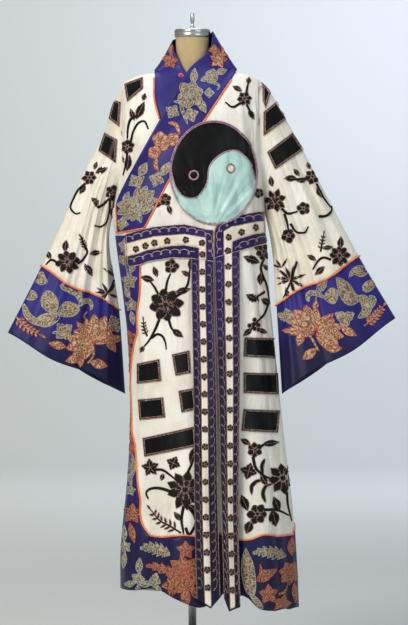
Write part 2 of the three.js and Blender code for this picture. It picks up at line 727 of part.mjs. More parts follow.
const underCollar = (low, high) =>
  collarBand(collars.under, 'front_inner', clothWall, low, high);
let underBand = underCollar(0.3, 0.3 + trimWall);
underBand = underBand.subtract(shells.inner(-5, clothWall + 0.3));
underBand = underBand.subtract(shells.outer(-0.35, 8));
for (const back of ['backLeft', 'backRight']) {
  underBand = underBand.subtract(shells[back](-5, clothWall + 0.4));
}
add('collar_under', geometryOf(largest(underBand)), materials.blue);

const bandBase = outerLayer + clothWall;
let outerBand = collarBand(collars.outer, 'front_outer', bandBase, 0.9, 0.9 + trimWall);
outerBand = outerBand.subtract(shells.outer(-5, clothWall + 0.4));
outerBand = outerBand.subtract(shells.inner(-5, clothWall + 0.4));
outerBand = outerBand.subtract(underCollar(-0.4, trimWall + 0.7));
for (const back of ['backLeft', 'backRight']) {
  outerBand = outerBand.subtract(shells[back](-5, clothWall + 0.4));
}
add('collar_outer', geometryOf(largest(outerBand)), materials.blue);

// Orange piping beside the collar bands.
const pipingOuter = collars.outer.slice(5).map(({ out }) => [out[0], out[2]]);
const pipingUnder = [[-101, 1562], [-100, 1548], [-100, 1514], [-94, 1480], [-85, 1449]];
onPanel(
  'piping_collar',
  'outer',
  ribbon(pipingOuter, 0.6, 5),
  trimLow,
  trimHigh,
  materials.orange,
);
onPanel('piping_under', 'inner', ribbon(pipingUnder, -0.6, -5), 2.3, 3.7, materials.orange);

// The disc in two halves, each with its eye.
const disc = { x: 57, z: 1304, halfWidth: 115, halfHeight: 137 };
const discBend = [
  [166, 1290], [160, 1311], [146, 1340], [128, 1358], [110, 1364], [90, 1360], [66, 1346],
  [48, 1326], [42, 1305], [41, 1288], [35, 1267], [23, 1249], [4, 1236], [-22, 1240],
  [-42, 1262], [-53, 1297], [-57, 1330],
];
const discArc = (from, to, count) =>
  Array.from({ length: count }, (_, i) => {
    const turn = radians(mix(from, to, i / (count - 1)));
    return [disc.x + disc.halfWidth * Math.cos(turn), disc.z + disc.halfHeight * Math.sin(turn)];
  });
const discLow = 5.1;
const discHigh = discLow + patchWall;
const darkOutline = [...discArc(-6, 169, 26), ...[...discBend].reverse()];
const discShell = shells.outer(discLow, discHigh);
const darkHalf = discShell.intersect(prism(darkOutline));
const paleHalf = discShell
  .intersect(prism(discArc(0, 352, 45)))
  .subtract(prism(darkOutline, 0.5));
add('disc_dark', geometryOf(largest(darkHalf)), materials.black);
add('disc_pale', geometryOf(largest(paleHalf)), materials.teal);
for (const [name, x, z, material] of [
  ['eye_dark', 4, 1297, materials.black],
  ['eye_pale', 100, 1316, materials.cream],
]) {
  const outline = Array.from({ length: 14 }, (_, i) => {
    const turn = (2 * Math.PI * i) / 14;
    return [x + 11.5 * Math.cos(turn), z + 11.5 * Math.sin(turn)];
  });
  onPanel(name, 'outer', outline, discHigh + 0.5, discHigh + 1.5, material);
}

// Round knot button on the collar.
const button = new THREE.SphereGeometry(8, 12, 8);
const buttonY = Math.min(
  ...[-37, -30, -23].map((x) => frontY(x, 1567, ['collar_outer', 'collar_under']) ?? 0),
  ...[1559, 1575].map((z) => frontY(-30, z, ['collar_outer', 'collar_under']) ?? 0),
);
button.scale(1, 0.7, 1).translate(-30, buttonY - 7.6, 1567);
add('button', button, materials.pink);

// The linen form: a limbless torso with its neck, inside the robe and clear of the cloth.
const formSections = [
  { z: 1290, left: -152, right: 148, front: 104, back: 82 },
  { z: 1210, left: -142, right: 138, front: 104, back: 76 },
  { z: 1127, left: -124, right: 122, front: 88, back: 68 },
  { z: 1040, left: -132, right: 132, front: 92, back: 80 },
  { z: 950, left: -142, right: 146, front: 100, back: 92 },
  { z: 850, left: -138, right: 148, front: 98, back: 92 },
];
const formColumns = 24;
const formHeights = [
  850, 900, 950, 1040, 1127, 1210, 1290, 1370, 1440, 1500, 1550, 1590, 1615, 1628,
];
const formPositions = [];
const formFaces = [];
formHeights.forEach((t) => {
  for (let i = 0; i < formColumns; i += 1) {
    const point = bodyPoint((360 * i) / formColumns, t, formSections, false);
    const rise = clamp((t - bustHeight) / shoulderRise);
    point.z -= 1.2 * rise;
    point.x *= 1 - 0.07 * rise ** 4;
    if (t === formBottom) point.multiply(new THREE.Vector3(0.97, 0.97, 1));
    formPositions.push(point.x, point.y, point.z);
  }
});
const lastRing = formHeights.length - 1;
for (let j = 0; j < lastRing; j += 1) {
  for (let i = 0; i < formColumns; i += 1) {
    const [a, b] = [j * formColumns + i, j * formColumns + ((i + 1) % formColumns)];
    const [c, d] = [a + formColumns, b + formColumns];
    formFaces.push([a, b, d], [a, d, c]);
  }
}
const footCentre = formPositions.length / 3;
formPositions.push(4, 0, formBottom);
for (let i = 0; i < formColumns; i += 1) {
  formFaces.push([footCentre, (i + 1) % formColumns, i]);
}
// A solid turned round the Z axis from a profile of radius and height.
const turned = (profile, count = 24) => wasm.Manifold.revolve([profile], count);
const neckY = 6;
const neck = turned([
  [0, 1540], [51, 1540], [49, 1568], [46.5, 1590], [44.5, 1625], [45, 1674.6], [0, 1674.6],
]);
const torso = solidOf(closedGeometry(formPositions, formFaces));
add('form_torso', geometryOf(torso.add(neck.translate([0, neckY, 0]))), materials.linen);
const cap = [[0, 1675], [47.5, 1675], [48.5, 1678], [48.5, 1693], [45, 1697], [0, 1698.5]];
add('neck_cap', geometryOf(turned(cap).translate([0, neckY, 0])), materials.steel);
const pin = [
  [0, 1699], [7, 1699], [5, 1704], [4, 1712], [5.5, 1718], [5.5, 1737], [3.5, 1741], [0, 1742],
];
add('top_pin', geometryOf(turned(pin, 12).translate([0, neckY, 0])), materials.steel);

// The stand: pole and round foot.
const pole = new THREE.CylinderGeometry(poleRadius, poleRadius, formBottom - 36.6, 24);
pole.rotateX(Math.PI / 2).translate(0, 0, 36.3 + (formBottom - 36.6) / 2);
add('stand_pole', pole, materials.steel);
const foot = [
  [0, 0], [baseRadius, 0], [baseRadius, 8], [baseRadius - 6, 13], [60, 22], [26, 28], [20, 36],
  [0, 36],
];
add('stand_base', geometryOf(turned(foot, 36)), materials.iron);

export default robe;
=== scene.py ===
# Stage robe on a limbless dress form: satin panels, velvet and gold-thread motifs, sash and stand.
# Lengths are worked out in millimetres on numpy grids and turned to metres when a mesh is made.
import math
import json
import numpy as np
import bpy
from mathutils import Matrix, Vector
from mathutils.bvhtree import BVHTree
from mathutils.geometry import delaunay_2d_cdt

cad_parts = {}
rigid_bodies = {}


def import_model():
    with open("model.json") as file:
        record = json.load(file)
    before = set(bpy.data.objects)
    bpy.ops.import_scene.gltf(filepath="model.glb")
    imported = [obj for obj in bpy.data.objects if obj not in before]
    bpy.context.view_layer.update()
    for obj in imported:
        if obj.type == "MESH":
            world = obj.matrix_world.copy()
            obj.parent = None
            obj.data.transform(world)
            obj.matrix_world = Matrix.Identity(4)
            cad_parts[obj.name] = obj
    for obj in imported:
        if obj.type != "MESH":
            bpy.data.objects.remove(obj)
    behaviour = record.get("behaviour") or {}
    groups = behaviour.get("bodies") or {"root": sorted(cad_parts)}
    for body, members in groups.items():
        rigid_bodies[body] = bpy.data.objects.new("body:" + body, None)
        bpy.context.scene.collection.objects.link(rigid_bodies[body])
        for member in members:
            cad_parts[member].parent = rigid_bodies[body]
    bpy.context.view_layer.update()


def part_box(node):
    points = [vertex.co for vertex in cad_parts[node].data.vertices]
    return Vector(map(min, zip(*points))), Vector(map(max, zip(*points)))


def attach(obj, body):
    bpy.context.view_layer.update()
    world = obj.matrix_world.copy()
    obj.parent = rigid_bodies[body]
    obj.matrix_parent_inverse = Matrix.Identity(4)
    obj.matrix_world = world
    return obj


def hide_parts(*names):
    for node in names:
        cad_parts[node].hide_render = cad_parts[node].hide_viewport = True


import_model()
print("frame loaded")

photo = {"width": 408, "height": 625, "mmPerPixel": 2.7, "axisX": 192.4, "lowZ": 120.0, "lowRow": 613.0}
mm = photo["mmPerPixel"]


def fromPhoto(px, py):  # pixels to x and z in millimetres
    return (px - photo["axisX"]) * mm, photo["lowZ"] + (photo["lowRow"] - py) * mm


def toPhoto(x, z):  # and back
    return x / mm + photo["axisX"], photo["lowRow"] - (z - photo["lowZ"]) / mm


def smooth(share):
    c = np.clip(share, 0, 1)
    return c * c * (3 - 2 * c)


def mix(a, b, share):
    return a + (b - a) * share


def unit(v):
    return v / np.maximum(np.linalg.norm(v, axis=-1, keepdims=True), 1e-9)


def signedPower(value, power):
    return np.sign(value) * np.abs(value) ** power


def along(table, at):  # smooth curve through a table whose first column is the place
    rows = np.asarray(table, float)
    if rows[0, 0] > rows[-1, 0]:
        rows = rows[::-1]
    key = rows[:, 0]
    at = np.asarray(at, float)
    place = np.clip(at, key[0], key[-1])
    i = np.clip(np.searchsorted(key, place) - 1, 0, len(key) - 2)
    after = np.minimum(np.arange(len(key)) + 1, len(key) - 1)
    before = np.maximum(np.arange(len(key)) - 1, 0)
    slope = (rows[after] - rows[before]) / (key[after] - key[before])[:, None]
    span = (key[i + 1] - key[i])[..., None]
    s = ((place - key[i]) / (key[i + 1] - key[i]))[..., None]
    out = ((2 * s**3 - 3 * s**2 + 1) * rows[i] + (s**3 - 2 * s**2 + s) * span * slope[i]
           + (3 * s**2 - 2 * s**3) * rows[i + 1] + (s**3 - s**2) * span * slope[i + 1])
    return [out[..., c] for c in range(1, rows.shape[1])]


robe = {
    "bust": 1290.0, "armpit": 1200.0, "rise": 338.0, "ridge": 1586.0,
    "armhole": 68.0, "outerLayer": 4.2, "wall": 2.0, "seamAngle": 0.01,
    # height, right and left side, front and back depth
    "sections": [
        (1290, -200, 186, 140, 101), (1200, -211, 190, 138, 96), (1127, -200, 194, 133, 92),
        (965, -178, 204, 130, 112), (850, -166, 215, 138, 124), (722, -161, 228, 146, 130),
        (614, -160, 240, 152, 136), (452, -171, 260, 162, 148), (290, -186, 273, 174, 160),
        (120, -186, 281, 184, 170),
    ],
    # angle, spread, depth, top, full, foot
    "folds": [
        (9, 15, -34, 1150, 420, 0), (-14, 16, 17, 950, 180, 0), (-44, 15, -15, 800, 200, 0),
        (36, 18, 13, 850, 260, 0), (64, 13, -9, 620, 200, 0), (8, 9, -9, 1330, 1160, 1040),
        (-11, 9, 5, 1300, 1160, 1040), (30, 10, 4, 1330, 1180, 1020), (140, 17, 15, 1150, 240, 0),
        (166, 13, -16, 1180, 300, 0), (192, 14, 16, 1180, 220, 0), (218, 14, -15, 1100, 260, 0),
        (243, 13, 11, 1000, 200, 0),
    ],
    "hem": [
        (-90, 190), (-60, 188), (-34, 194), (-18, 168), (-6, 147), (3, 166), (9, 188), (22, 176), (30, 144),
        (40, 136), (54, 140), (66, 136), (75, 139), (90, 137), (140, 150), (190, 165), (235, 176), (270, 186),
    ],
    "closure": [
        (-230, 1194), (-212, 1202), (-99, 1362), (-30, 1450), (16, 1480), (50, 1512), (82, 1550),
        (104, 1586), (104, 1640),
    ],
    "innerEdge": [
        (70, 0), (60, 1160), (62, 1362), (20, 1450), (-40, 1490), (-76, 1536), (-90, 1588), (-90, 1640),
    ],
    # soft creases that the solids leave out: angle, spread, depth, top, bottom, lean in degrees
    "creases": [
        (-62, 5, -3.0, 1160, 830, 4), (-51, 6, 2.6, 1120, 640, -3), (-33, 5, -3.2, 1130, 900, 5),
        (-26, 4, 2.2, 1010, 560, -4), (24, 5, -3.4, 1150, 780, -6), (47, 6, 2.8, 1190, 700, 5),
        (57, 4, -3.0, 1120, 560, 3), (74, 6, 3.2, 1140, 420, -5), (-72, 5, 3.0, 900, 260, 4),
        (-56, 6, -3.6, 640, 240, -5), (-23, 5, 3.0, 560, 230, 4), (22, 5, 3.2, 520, 200, -4),
        (49, 6, -3.6, 600, 190, 6), (80, 5, -3.4, 560, 170, -3), (-38, 4, 2.6, 420, 200, 3),
        (14, 6, 3.0, 1300, 1130, 16), (34, 7, -3.0, 1400, 1190, 14), (22, 4, 2.2, 1360, 1230, -12),
        (48, 6, 3.2, 1450, 1180, 12), (57, 6, -3.4, 1420, 1150, 6), (-6, 5, -2.6, 1290, 1160, -8),
        (-22, 5, 2.4, 1260, 1165, -12), (-52, 6, -3.0, 1330, 1160, -14), (62, 4, 2.6, 1500, 1260, 4),
        (-60, 4, 2.6, 1480, 1240, -6), (-50, 5, -2.4, 1520, 1330, -5), (40, 4, 2.0, 1540, 1420, 5),
        (104, 7, -4.0, 1180, 400, 4), (122, 6, 3.6, 1140, 520, -6), (131, 5, -3.6, 960, 300, 5),
        (153, 6, 4.0, 1240, 700, -4), (176, 5, -3.4, 1020, 420, 5), (184, 6, 3.0, 1300, 860, -3),
        (204, 5, 3.8, 1180, 560, 6), (228, 6, -3.8, 1200, 640, -5), (236, 5, 3.2, 800, 260, 4),
        (254, 6, -3.6, 1160, 480, -6), (262, 4, 3.0, 760, 240, 3), (146, 6, -3.2, 1460, 1200, 10),
        (214, 6, -3.2, 1450, 1210, -10), (170, 6, 2.8, 1500, 1280, 6), (192, 5, -2.6, 1480, 1300, -5),
    ],
}
shoulderFold = robe["bust"] + robe["rise"]


def ridge(x):
    out = np.abs(x)
    return robe["ridge"] - 0.1 * out - 0.004 * np.maximum(0, out - 120) ** 2


def foldDepth(angle, t):
    turn = np.mod(angle + 90, 360) - 90
    depth = np.zeros(np.broadcast(angle, t).shape)
    for a, spread, deep, top, full, foot in robe["folds"]:
        off = np.abs(turn - a) / spread
        grown = smooth((top - t) / (top - full))
        kept = smooth((t - foot) / (full - foot)) if foot else 1.0
        depth += np.where((off < 1) & (t <= top), deep * grown * kept * 0.5 * (1 + np.cos(np.pi * off)), 0)
    return depth


def creaseDepth(angle, t):  # shallow uneven folds of the cloth itself
    turn = np.mod(angle + 90, 360) - 90
    depth = np.zeros(np.broadcast(angle, t).shape)
    for i, (a, spread, deep, top, low, lean) in enumerate(robe["creases"]):
        share = (top - t) / (top - low)
        middle = a + lean * (share - 0.5) + 1.4 * np.sin(t / 61.0 + 2.1 * i)
        off = (turn - middle) / (spread * (0.75 + 0.5 * np.clip(share, 0, 1)))
        ends = smooth(share / 0.3) * smooth((1.12 - share) / 0.3)
        depth += 1.45 * deep * ends * np.exp(-2.4 * off**2)
    return depth


def ripple(a, b, seed, size):  # slow uneven swelling, as of hand-sewn silk
    rng = np.random.default_rng(seed)
    total = 0.0
    for i in range(9):
        turn, phase = rng.uniform(0, np.pi), rng.uniform(0, 2 * np.pi)
        length = size * rng.uniform(0.5, 1.8)
        total = total + np.sin((a * np.cos(turn) + b * np.sin(turn)) * 2 * np.pi / length + phase)
    return total / 9


def bodyPoint(angle, t, folded=True, fine=False, sections=None):
    angle, t = np.broadcast_arrays(np.asarray(angle, float), np.asarray(t, float))
    sin, cos = np.sin(np.radians(angle)), np.cos(np.radians(angle))
    left, right, front, back = along(sections or robe["sections"], np.minimum(t, robe["bust"]))
    x = (left + right) / 2 + (right - left) / 2 * signedPower(sin, 0.9)
    y = -np.where(cos >= 0, front, back) * signedPower(cos, 0.85)
    high = t > robe["bust"]
    turn = np.radians(90 * (1 - np.clip(t - robe["bust"], 0, robe["rise"]) / robe["rise"]))
    roundness = np.where(cos >= 0, 1.0, 0.77)
    y = np.where(high, y * np.abs(np.sin(turn)) ** roundness, y)
    rise = robe["bust"] + (ridge(x) - robe["bust"]) * np.abs(np.cos(turn)) ** roundness
    point = np.stack([x, y, np.where(high, rise, t)], -1)
    if folded:
        depth = foldDepth(angle, t)
        if fine:  # creases die away at the armhole seams and the shoulder fold
            turn = np.abs(np.mod(angle + 180, 360) - 180)
            seamGap = armholeEdge(t) - np.where(turn <= 90, turn, 180 - turn)
            kept = np.where(t > robe["armpit"], smooth(seamGap / 8), 1) * smooth((shoulderFold - t) / 60)
            depth = depth + kept * (creaseDepth(angle, t) + 0.9 * ripple(angle * 3.0, t, 4, 120))
        point = point + bodyNormal(angle, t) * depth[..., None]
    return point


def bodyNormal(angle, t, folded=False, fine=False):
    height = np.minimum(t, shoulderFold - 3)
    across = bodyPoint(angle + 0.7, height, folded, fine) - bodyPoint(angle - 0.7, height, folded, fine)
    up = bodyPoint(angle, height + 2.5, folded, fine) - bodyPoint(angle, height - 2.5, folded, fine)
    return unit(np.cross(across, up))


def armholeEdge(t):
    return mix(90.0, robe["armhole"], smooth((t - robe["armpit"]) / 150))


def armholeHeight(share):
    return np.minimum(mix(shoulderFold, robe["armpit"], np.asarray(share, float) ** 0.86), shoulderFold - 0.5)


def hemHeight(angle):
    return along(robe["hem"], np.mod(angle + 90, 360) - 90)[0]


sleeves = {
    "left": {
        "sign": 1, "cuff": 0.738,
        "fold": [(0, 180, 0, 1560), (0.06, 212, 0, 1528), (0.12, 232, 0, 1490), (0.3, 299, 0, 1368),
                 (0.5, 367, -4, 1237), (0.738, 449, -8, 1083), (1, 548, -12, 916)],
        "under": [(0, 196, 0, 1200), (0.3, 214, -8, 1105), (0.738, 226, -46, 950), (1, 240, -84, 714)],
        # share of the half round, spread, depth, start, full, slant: soft troughs from shoulder to cuff
        "creases": [
            (0.16, 0.05, -3.4, 0.06, 0.5, 0.10), (0.25, 0.06, 3.4, 0.16, 0.6, 0.06),
            (0.40, 0.05, -4.2, 0.04, 0.42, 0.12), (0.50, 0.06, 4.4, 0.10, 0.6, 0.08),
            (0.55, 0.04, -3.4, 0.24, 0.8, 0.10), (0.70, 0.05, 5.0, 0.02, 0.5, 0.03),
            (0.76, 0.04, -5.0, 0.06, 0.44, -0.02), (0.86, 0.05, -4.4, 0.2, 0.7, -0.04),
            (0.92, 0.035, 4.6, 0.06, 0.52, -0.03), (0.33, 0.04, 2.8, 0.34, 0.9, 0.02),
            (0.09, 0.04, 2.6, 0.3, 0.9, 0.02), (0.66, 0.04, -3.0, 0.5, 1.1, 0.04),
        ],
    },
    "right": {
        "sign": -1, "cuff": 0.728,
        "fold": [(0, -184, 0, 1556), (0.06, -208, 0, 1510), (0.19, -239, 0, 1416), (0.33, -284, 0, 1329),
                 (0.47, -327, -4, 1230), (0.728, -407, -8, 1057), (1, -498, -12, 877)],
        "under": [(0, -217, 0, 1200), (0.3, -224, 6, 1110), (0.728, -198, 20, 938), (1, -182, 30, 712)],
        "creases": [
            (0.20, 0.05, -3.2, 0.08, 0.6, 0.08), (0.30, 0.06, 3.8, 0.05, 0.5, 0.06),
            (0.44, 0.05, -4.8, 0.08, 0.48, 0.05), (0.52, 0.05, 4.6, 0.04, 0.56, 0.08),
            (0.62, 0.045, -5.2, 0.12, 0.62, 0.02), (0.72, 0.05, 5.4, 0.02, 0.46, 0.02),
            (0.80, 0.04, -5.2, 0.03, 0.5, -0.02), (0.88, 0.05, 4.8, 0.12, 0.7, -0.05),
            (0.94, 0.03, -3.4, 0.05, 0.5, -0.02), (0.12, 0.045, 2.8, 0.26, 0.84, 0.04),
            (0.37, 0.04, -3.0, 0.44, 1.05, 0.03), (0.57, 0.04, 3.0, 0.5, 1.1, -0.03),
        ],
    },
    "bulge": [(0, 46, 60), (0.15, 56, 58), (0.4, 50, 50), (0.74, 46, 44), (1, 52, 46)],
    "folds": [(0.3, 0.2, 7, 0.1, 0.6, 1.5), (0.62, 0.17, -12, 0.05, 0.45, 1.6),
              (0.84, 0.13, 9, 0.05, 0.4, 1.3)],
    "wave": 11.0, "blend": 0.14,
}


def armholePoint(side, k, off=0.0):
    sleeve = sleeves[side]
    front = k <= 0.5
    t = armholeHeight(np.where(front, k * 2, (1 - k) * 2))
    edge = armholeEdge(t)
    angle = sleeve["sign"] * np.where(front, edge, 180 - edge)
    lift = (robe["outerLayer"] if sleeve["sign"] > 0 else 0) + off
    return bodyPoint(angle, t) + bodyNormal(angle, t) * lift


def sleevePoint(side, w, k, fine=True):
    w, k = np.broadcast_arrays(np.asarray(w, float), np.mod(np.asarray(k, float), 1.0))
    sleeve = sleeves[side]
    top = np.stack(along(sleeve["fold"], w), -1)
    low = np.stack(along(sleeve["under"], w), -1)
    front = k <= 0.5
    share = np.where(front, k * 2, (1 - k) * 2)
    bulgeFront, bulgeBack = along(sleeves["bulge"], w)
    lens = np.sin(np.pi * np.clip(share, 0, 1)) ** 0.72
    out = np.where(front, bulgeFront, bulgeBack) * lens
    for at, spread, deep, start, full, to in sleeves["folds"]:
        off = np.abs(share - at) / spread
        grown = smooth((w - start) / (full - start)) * (1 - smooth((w - full) / (to - full)))
        out = out + np.where(off < 1, deep * grown * 0.5 * (1 + np.cos(np.pi * off)), 0)
    if fine:
        for i, (at, spread, deep, start, full, slant) in enumerate(sleeve["creases"]):
            middle = at + slant * (w - 0.4) + 0.008 * np.sin(w * 11 + i) + np.where(front, 0, 0.05)
            off = (share - middle) / (spread * (0.6 + 0.7 * w))
            grown = smooth((w - start) / 0.22) * (1 - 0.62 * smooth((w - full) / 0.5))
            out = out + deep * 1.25 * grown * np.exp(-2.2 * off**2)
        out = out + 1.3 * lens * ripple(w * 500, share * 420, 9 + len(side), 150)
    point = top + (low - top) * share[..., None]
    wave = sleeves["wave"] * np.sin(2 * np.pi * share - 0.5) * smooth((w - 0.3) / 0.5)
    y = point[..., 1] + np.where(front, -out, out)
    z = point[..., 2] - np.where(front, 1.0, -0.6) * wave * np.sin(np.pi * share)
    free = np.stack([point[..., 0], y, z], -1)
    blend = np.sin(np.pi / 2 * np.clip(w / sleeves["blend"], 0, 1))[..., None]
    return np.where(blend < 1, mix(armholePoint(side, k), free, blend), free)


def gridNormal(grid, ring=False):
    if ring:
        padded = np.concatenate([grid[:, -2:], grid, grid[:, :2]], 1)
        across = np.gradient(padded, axis=1)[:, 2:-2]
    else:
        across = np.gradient(grid, axis=1)
    return unit(np.cross(across, np.gradient(grid, axis=0)))


def addObject(name, data):
    obj = bpy.data.objects.new(name, data)
    bpy.context.scene.collection.objects.link(obj)
    return obj


def newObject(name, points, faces, material):
    mesh = bpy.data.meshes.new(name)
    mesh.from_pydata((np.asarray(points, float) / 1000).tolist(), [], [list(map(int, f)) for f in faces])
    mesh.materials.append(material)
    mesh.update()
    mesh.polygons.foreach_set("use_smooth", [True] * len(mesh.polygons))
    return addObject(name, mesh)


def clothWall(name, outer, inner, material, ring=False, flip=False):
    # outer and inner are grids of rows and columns
    rows, cols = outer.shape[:2]
    points = np.concatenate([outer.reshape(-1, 3), inner.reshape(-1, 3)])
    index = np.arange(rows * cols).reshape(rows, cols)
    right = np.roll(index, -1, 1) if ring else index[:, 1:]
    left = index if ring else index[:, :-1]
    a, b, c, d = left[:-1], right[:-1], right[1:], left[1:]
    front = np.stack([a, b, c, d], -1).reshape(-1, 4)
    count = rows * cols
    back = front[:, ::-1] + count
    rims = []
    for row, order in ((0, 1), (rows - 1, -1)):
        p, q = left[row], right[row]
        quad = np.stack([q, p, p + count, q + count], -1)[:, ::order]
        rims.append(quad)
    if not ring:
        for col, order in ((0, -1), (cols - 1, 1)):
            p, q = index[:-1, col], index[1:, col]
            rims.append(np.stack([q, p, p + count, q + count], -1)[:, ::order])
    faces = np.concatenate([front, back] + rims)
    if flip:
        faces = faces[:, ::-1]
    return newObject(name, points, faces, material)


def toLinear(code):  # sRGB hex to linear colour
    parts = [int(code.lstrip("#")[i:i + 2], 16) / 255 for i in (0, 2, 4)]
    return tuple(c / 12.92 if c <= 0.04045 else ((c + 0.055) / 1.055) ** 2.4 for c in parts) + (1.0,)


def stops(codes, *places):  # colours of a ramp with their places on it
    return list(zip(places or (0.3, 0.5, 0.75), codes.split()))


def addNode(tree, kind, settings=None, values=None, links=None):
    node = tree.nodes.new(kind if "Node" in kind else "ShaderNode" + kind)
    for key, value in (settings or {}).items():
        setattr(node, key, value)
    for key, value in (values or {}).items():
        node.inputs[key].default_value = value
    for key, source in (links or {}).items():
        tree.links.new(source, node.inputs[key])
    return node


def startMaterial(name, shader):
    material = bpy.data.materials.new(name)
    material.use_nodes = True
    tree = material.node_tree
    tree.nodes.clear()
    surface = addNode(tree, "BsdfPrincipled", values=shader)
    output = addNode(tree, "OutputMaterial")
    tree.links.new(surface.outputs["BSDF"], output.inputs["Surface"])
    here = addNode(tree, "TexCoord").outputs["Object"]
    material.diffuse_color = shader.get("Base Color", (0.5, 0.5, 0.5, 1))
    return material, tree, surface, here


def colourRamp(tree, source, ramp):
    node = addNode(tree, "ValToRGB", links={"Fac": source})
    ends = node.color_ramp.elements
    for end, (place, code) in zip(ends, (ramp[0], ramp[-1])):
        end.position, end.color = place, toLinear(code)
    for place, code in ramp[1:-1]:
        ends.new(place).color = toLinear(code)
    return node.outputs["Color"]


def satin(name, ramp, rough, sheen, weaveMm=0.9, cloudMm=90, stain=None, bump=0.12, specular=0.4, paintedShade=None,
          crush=0.0):
    # silk satin: long floats over a fine ground, so it glows along the folds and shows faint cross threads
    # the real thread is about 0.1 mm; it is drawn coarser so that it shows
    material, tree, surface, here = startMaterial(name, {
        "Base Color": toLinear(ramp[1][1]), "Roughness": rough, "Specular IOR Level": specular,
        "Sheen Weight": sheen, "Sheen Roughness": 0.35,
    })
    cloud = addNode(tree, "TexNoise", {"noise_dimensions": "3D"},
                    {"Scale": 1000 / cloudMm, "Detail": 5.0, "Roughness": 0.6}, {"Vector": here})
    colour = colourRamp(tree, cloud.outputs["Fac"], ramp)
    weave = addNode(tree, "TexWave", {"wave_type": "BANDS", "bands_direction": "DIAGONAL"},
                    {"Scale": 1000 / weaveMm / 10, "Distortion": 1.2, "Detail": 2.0, "Detail Scale": 1.5},
                    {"Vector": here})
    slub = addNode(tree, "Mapping", values={"Scale": (220.0, 220.0, 16.0)},
                   links={"Vector": here})
    slubs = addNode(tree, "TexNoise", values={"Scale": 1.0, "Detail": 3.0}, links={"Vector": slub.outputs[0]})
    if stain:
        spots = addNode(tree, "TexNoise", values={"Scale": 7.0, "Detail": 6.0, "Roughness": 0.7},
                        links={"Vector": here})
        limit = addNode(tree, "MapRange", values={"From Min": 0.52, "From Max": 0.78, "To Max": 0.5},
                        links={"Value": spots.outputs["Fac"]})
        aged = addNode(tree, "Mix", {"data_type": "RGBA"}, {7: toLinear(stain)},
                       {0: limit.outputs["Result"], 6: colour})
        colour = aged.outputs[2]
    if paintedShade:  # painted shade: the colour is darkened towards the lower edge of the cloth, standing in for shade there: colour, from height, to height in metres
        parts = addNode(tree, "SeparateXYZ", links={"Vector": here})
        fall = addNode(tree, "MapRange", {"interpolation_type": "SMOOTHSTEP"},
                       {"From Min": paintedShade[1], "From Max": paintedShade[2], "To Min": 0.85, "To Max": 0.0},
                       {"Value": parts.outputs["Z"]})
        deep = addNode(tree, "Mix", {"data_type": "RGBA"}, {7: toLinear(paintedShade[0])},
                       {0: fall.outputs["Result"], 6: colour})
        colour = deep.outputs[2]
    threads = addNode(tree, "Math", {"operation": "MULTIPLY_ADD"}, {1: 0.5},
                      {0: slubs.outputs["Fac"], 2: weave.outputs["Fac"]})
    tree.links.new(colour, surface.inputs["Base Color"])
    relief = addNode(tree, "Bump", values={"Strength": bump, "Distance": 0.0006},
                     links={"Height": threads.outputs[0]})
    if crush:  # soft creases of silk that has hung and been folded, longer down the cloth than across it
        drape = addNode(tree, "Mapping", values={"Scale": (30.0, 30.0, 7.0), "Rotation": (0.0, 0.16, 0.0)},
                        links={"Vector": here})
        crease = addNode(tree, "TexNoise", values={"Scale": 1.0, "Detail": 3.5, "Roughness": 0.55,
                                                             "Distortion": 0.9}, links={"Vector": drape.outputs[0]})
        relief = addNode(tree, "Bump", values={"Strength": crush, "Distance": 0.006},
                         links={"Height": crease.outputs["Fac"], "Normal": relief.outputs["Normal"]})
    tree.links.new(relief.outputs["Normal"], surface.inputs["Normal"])
    shine = addNode(tree, "MapRange", values={"To Min": rough - 0.06, "To Max": rough + 0.1},
                    links={"Value": slubs.outputs["Fac"]})
    tree.links.new(shine.outputs["Result"], surface.inputs["Roughness"])
    return material


def velvet(name, ramp, rough=0.7, sheen=0.6, pileMm=2.2, bump=0.5):
    # cut silk velvet: upright pile that drinks the light and shows a soft pale rim
    material, tree, surface, here = startMaterial(name, {
        "Base Color": toLinear(ramp[1][1]), "Roughness": rough, "Specular IOR Level": 0.2,
        "Sheen Weight": sheen, "Sheen Roughness": 0.4,
    })
    pile = addNode(tree, "TexNoise", values={"Scale": 1000 / pileMm, "Detail": 3.0, "Roughness": 0.7},
                   links={"Vector": here})
    tree.links.new(colourRamp(tree, pile.outputs["Fac"], ramp), surface.inputs["Base Color"])
    relief = addNode(tree, "Bump", values={"Strength": bump, "Distance": 0.001},
                     links={"Height": pile.outputs["Fac"]})
    tree.links.new(relief.outputs["Normal"], surface.inputs["Normal"])
    return material


def threadWork(name, ramp, rough=0.5, pitchMm=3.4, metallic=0.0, bump=0.8, sheen=0.1):
    # couched silk and paper-gold thread laid in close rows; the rows are drawn wider so that they show
    material, tree, surface, here = startMaterial(name, {
        "Base Color": toLinear(ramp[1][1]), "Roughness": rough, "Metallic": metallic,
        "Specular IOR Level": 0.45, "Sheen Weight": sheen,
    })
    rings = addNode(tree, "TexVoronoi", {"feature": "F1"}, {"Scale": 1000 / (pitchMm * 7)},
                    {"Vector": here})
    rows = addNode(tree, "Math", {"operation": "MULTIPLY"}, {1: 2 * math.pi * 3.2},
                   {0: rings.outputs["Distance"]})
    wave = addNode(tree, "Math", {"operation": "SINE"}, links={0: rows.outputs[0]})
    mottle = addNode(tree, "TexNoise", values={"Scale": 1000 / (pitchMm * 2.2), "Detail": 4.0},
                     links={"Vector": here})
    both = addNode(tree, "Math", {"operation": "MULTIPLY_ADD"}, {1: 0.22},
                   {0: wave.outputs[0], 2: mottle.outputs["Fac"]})
    tree.links.new(colourRamp(tree, both.outputs[0], ramp), surface.inputs["Base Color"])
    relief = addNode(tree, "Bump", values={"Strength": bump, "Distance": 0.0009},
                     links={"Height": both.outputs[0]})
    tree.links.new(relief.outputs["Normal"], surface.inputs["Normal"])
    return material


